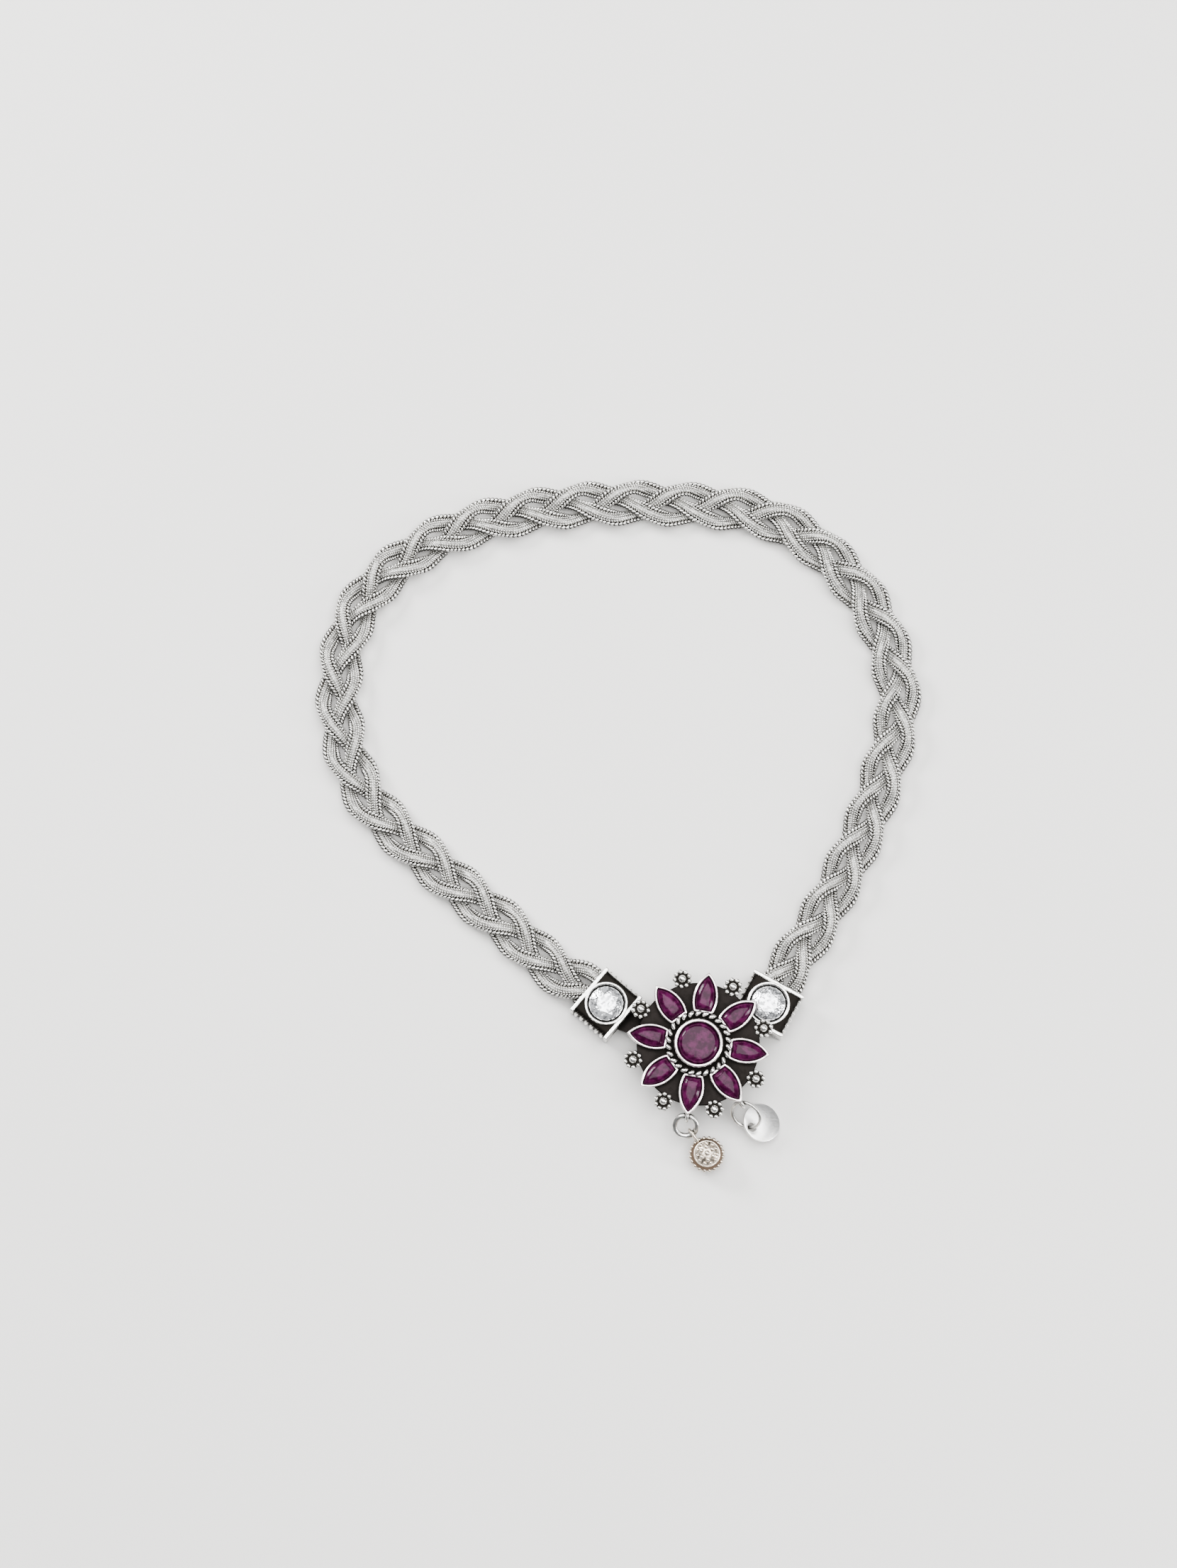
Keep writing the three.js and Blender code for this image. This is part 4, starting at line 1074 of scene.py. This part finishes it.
def rope_ring():
    """The twisted wire round the centre stone's collar."""
    count = ROPE_RING_BEADS * 6
    points = [at_heading(step * 360 / count, ROPE_RING_RADIUS, ROPE_RING_HEIGHT) for step in range(count)]
    path = path_curve(points, [0] * count, closed=True)
    length = polyline_length([*points, points[0]])
    unit = rope_unit(ROPE_RING_BEAD, length / ROPE_RING_BEADS, 0.0, 16, 10)
    row = bent_along(path, length, unit, length / ROPE_RING_BEADS)
    shape = bmesh.new()
    shape.from_mesh(row)
    bpy.data.meshes.remove(row)
    bpy.data.objects.remove(path)
    mesh_piece("twisted_wire_ring", shape, cap_finish, smooth_angle=None)


def centre_collar():
    shape = bmesh.new()
    top = CENTRE_COLLAR_TOP
    outer = CENTRE_COLLAR_RADIUS
    inner = CENTRE_STONE_RADIUS + COLLAR_GAP
    profile = [
        (outer, PLATE_TOP - 0.2 * MM),
        (outer, top - 0.16 * MM),
        (outer - 0.06 * MM, top - 0.05 * MM),
        (outer - 0.17 * MM, top),
        (inner + 0.17 * MM, top),
        (inner + 0.06 * MM, top - 0.05 * MM),
        (inner, top - 0.16 * MM),
        (inner, PLATE_TOP - 0.2 * MM),
    ]
    turn_profile(shape, profile, 72)
    mesh_piece("centre_collar", shape, rim_finish)


def rosettes():
    """Eight clusters of grains between the petals: a bead on a small disc in a ring of grains."""
    shape = bmesh.new()
    for index in range(PETALS):
        heading = FIRST_PETAL + (index + 0.5) * 360 / PETALS
        place = placed(at_heading(heading, ROSETTE_REACH), (0, 0, heading))
        disc = ROSETTE_RADIUS - ROSETTE_GRAIN * ROSETTE_DISC_INSET
        profile = [(0, PLATE_UNDERSIDE), (disc, PLATE_UNDERSIDE), (disc, PLATE_TOP), (0, PLATE_TOP)]
        turn_profile(shape, profile, 24, place)
        lift = Vector((0, 0, PLATE_TOP + ROSETTE_BEAD * ROSETTE_BEAD_LIFT))
        add_ball(shape, ROSETTE_BEAD / 2, place @ Matrix.Translation(lift), detail=3)
        for step in range(ROSETTE_GRAINS):
            spot = at_heading(step * 360 / ROSETTE_GRAINS, ROSETTE_RADIUS - ROSETTE_GRAIN / 2, PLATE_TOP)
            add_ball(shape, ROSETTE_GRAIN / 2, place @ Matrix.Translation(spot))
    mark_proud(shape, lambda point: point.z > PLATE_TOP + ROSETTE_GROUND)
    mesh_piece("grain_rosettes", shape, cap_finish)


def drop_eyes():
    shape = bmesh.new()
    for heading in (BELL_EYE_HEADING, DISC_EYE_HEADING):
        upright = placed(at_heading(heading, EYE_REACH, EYE_HEIGHT), (90, 0, heading))
        add_link(shape, EYE_RADIUS, EYE_WIRE, upright)
    mesh_piece("drop_eyes", shape, cast_finish)


def flower():
    flower_back()
    petal_collars()
    rope_ring()
    centre_collar()
    rosettes()
    drop_eyes()
    centre_stone()
    for index in range(PETALS):
        petal_stone(index)


# Drops


def wire_in_eye(heading, wire, share):
    """The middle of a ring's near wire in its eye, moved outwards by a share of its free play."""
    play = EYE_RADIUS - EYE_WIRE - wire - LINK_CLEARANCE
    return at_heading(heading, EYE_REACH + play * share, EYE_HEIGHT)


def hanging_ring(name, node, radius, wire, place):
    """A closed jump ring whose near wire lies at the origin of place."""
    shape = bmesh.new()
    add_link(shape, radius, wire, Matrix.Translation((radius, 0, 0)), steps=56, sides=14)
    mesh_piece(name, shape, cast_finish, [node], 60, place)


def bell(place, loop_rise):
    """A ball with rows of grains, a thin wire band and a wire loop on its side."""
    shape = bmesh.new()
    bmesh.ops.create_uvsphere(shape, u_segments=48, v_segments=32, radius=BELL_RADIUS)
    upright = placed((-BELL_LOOP_MIDDLE, 0, loop_rise), (90, 0, 0))
    stretch = BELL_LOOP_HEIGHT / BELL_LOOP_LENGTH
    add_link(shape, BELL_LOOP_LENGTH / 2, BELL_LOOP_WIRE, upright, stretch=stretch)
    band = math.radians(BELL_BAND_LATITUDE)
    band_place = placed((0, 0, BELL_RADIUS * math.sin(band)))
    add_link(shape, BELL_RADIUS * math.cos(band), BELL_BAND_WIRE, band_place)
    for latitude, count, radius in BELL_GRAIN_ROWS:
        for step in range(count):
            heading = (step + 0.5) * 360 / count
            angle = math.radians(latitude)
            spot = at_heading(heading, BELL_RADIUS * math.cos(angle), BELL_RADIUS * math.sin(angle))
            add_ball(shape, radius * MM, Matrix.Translation(spot))
    mark_proud(shape, lambda point: point.length > BELL_RADIUS + CLOSE or point.z > BELL_CROWN)
    mesh_piece("grained_bell", shape, bell_finish, ["bell_drop"], 50, place)


def disc(place):
    """A flat round disc with a hole near its edge, the hole at the origin of place."""
    shape = bmesh.new()
    middle = DISC_RADIUS - DISC_HOLE_EDGE - DISC_HOLE_RADIUS
    centre = Matrix.Translation((middle, 0, 0))
    rim = bmesh.ops.create_circle(shape, segments=72, radius=DISC_RADIUS, matrix=centre)["verts"]
    hole = bmesh.ops.create_circle(shape, segments=36, radius=DISC_HOLE_RADIUS)["verts"]
    bmesh.ops.triangle_fill(shape, use_beauty=True, edges=edges_at(rim + hole))
    bmesh.ops.translate(shape, verts=shape.verts, vec=(0, 0, -DISC_THICKNESS / 2))
    drawn = bmesh.ops.extrude_face_region(shape, geom=shape.faces[:])["geom"]
    bmesh.ops.translate(shape, verts=verts_among(drawn), vec=(0, 0, DISC_THICKNESS))
    bmesh.ops.recalc_face_normals(shape, faces=shape.faces)
    sharp = [edge for edge in shape.edges if edge.calc_face_angle(0) > SHARP]
    bmesh.ops.bevel(
        shape, geom=sharp, offset=DISC_EDGE_BEVEL, segments=2, profile=0.5, affect="EDGES", material=-1
    )
    mesh_piece("plain_disc", shape, disc_finish, ["disc_drop"], 40, place)


def drops():
    bell_eye = wire_in_eye(BELL_EYE_HEADING, BELL_RING_WIRE, 1)
    bell_ring_place = placed(bell_eye, (0, BELL_RING_PITCH, BELL_EYE_HEADING))
    hanging_ring("bell_jump_ring", "bell_ring", BELL_RING_RADIUS, BELL_RING_WIRE, bell_ring_place)
    turn = math.radians(BELL_HEADING - BELL_EYE_HEADING)
    along = BELL_RING_RADIUS * (1 + math.cos(turn))
    contact = bell_ring_place @ Vector((along, BELL_RING_RADIUS * math.sin(turn), 0))
    reach = BELL_LOOP_MIDDLE + BELL_LOOP_LENGTH / 2 - BELL_LOOP_WIRE - BELL_RING_WIRE - LINK_CLEARANCE
    middle = contact + at_heading(BELL_HEADING, reach)
    middle.z = BELL_RADIUS
    bell(placed(middle, (0, 0, BELL_HEADING)), contact.z - BELL_RADIUS)

    disc_ring_place = placed(wire_in_eye(DISC_EYE_HEADING, DISC_RING_WIRE, 0), DISC_RING_TURN)
    hanging_ring("disc_jump_ring", "disc_ring", DISC_RING_RADIUS, DISC_RING_WIRE, disc_ring_place)
    hole = disc_ring_place @ Vector((2 * DISC_RING_RADIUS, 0, 0))
    far_edge = 2 * DISC_RADIUS - DISC_HOLE_EDGE - DISC_HOLE_RADIUS
    dip = math.degrees(math.asin((hole.z - DISC_THICKNESS / 2 - DISC_FLOOR_GAP) / far_edge))
    disc(placed(hole, (0, dip, DISC_HEADING)))


# Camera, floor and lights


def camera():
    elevation = math.radians(CAMERA_ELEVATION)
    back = Vector((0, -math.cos(elevation), math.sin(elevation)))
    image_up = Vector((0, math.sin(elevation), math.cos(elevation)))
    scale = MM / PIXELS_PER_MM
    across = (FLOWER_PIXEL[0] - PHOTO_SIZE[0] / 2) * scale
    down = (FLOWER_PIXEL[1] - PHOTO_SIZE[1] / 2) * scale
    flower_top = Vector((0, 0, FLOWER_TOP))
    aim = flower_top - Vector((across, 0, 0)) + image_up * down
    distance = PHOTO_SIZE[1] * scale * CAMERA_LENS / CAMERA_SENSOR
    data = bpy.data.cameras.new("photo_camera")
    data.lens = CAMERA_LENS
    data.sensor_width = CAMERA_SENSOR
    data.clip_start = 0.01
    data.clip_end = 20
    view = bpy.data.objects.new("photo_camera", data)
    view.rotation_mode = "QUATERNION"
    view.location = aim + back * distance
    view.rotation_quaternion = (-back).to_track_quat("-Z", "Y")
    bpy.context.scene.collection.objects.link(view)
    bpy.context.scene.camera = view


def floor():
    shape = bmesh.new()
    bmesh.ops.create_grid(shape, x_segments=2, y_segments=2, size=FLOOR_HALF_SIZE)
    mesh = bpy.data.meshes.new("pale_floor")
    shape.to_mesh(mesh)
    shape.free()
    mesh.materials.append(matt_floor("matt_pale_floor"))
    ground = bpy.data.objects.new("pale_floor", mesh)
    bpy.context.scene.collection.objects.link(ground)


def area_light(name, place, size, power):
    data = bpy.data.lights.new(name, "AREA")
    data.shape = "RECTANGLE"
    data.size, data.size_y = size
    data.energy = power
    light = bpy.data.objects.new(name, data)
    light.location = place
    light.rotation_mode = "QUATERNION"
    light.rotation_quaternion = (Vector(LIGHT_AIM) - Vector(place)).to_track_quat("-Z", "Y")
    bpy.context.scene.collection.objects.link(light)


def lights():
    for light in LIGHTS:
        area_light(*light)
    world = bpy.data.worlds.new("soft_room")
    world.use_nodes = True
    background = world.node_tree.nodes["Background"]
    background.inputs["Color"].default_value = ROOM_COLOUR
    background.inputs["Strength"].default_value = ROOM_STRENGTH
    bpy.context.scene.world = world


bpy.context.scene.view_settings.look = "AgX - Medium High Contrast"
camera()
floor()
lights()
braid()
for cap_side in CAP_HEADINGS:
    end_cap(cap_side)
    cap_stone(cap_side)
flower()
drops()
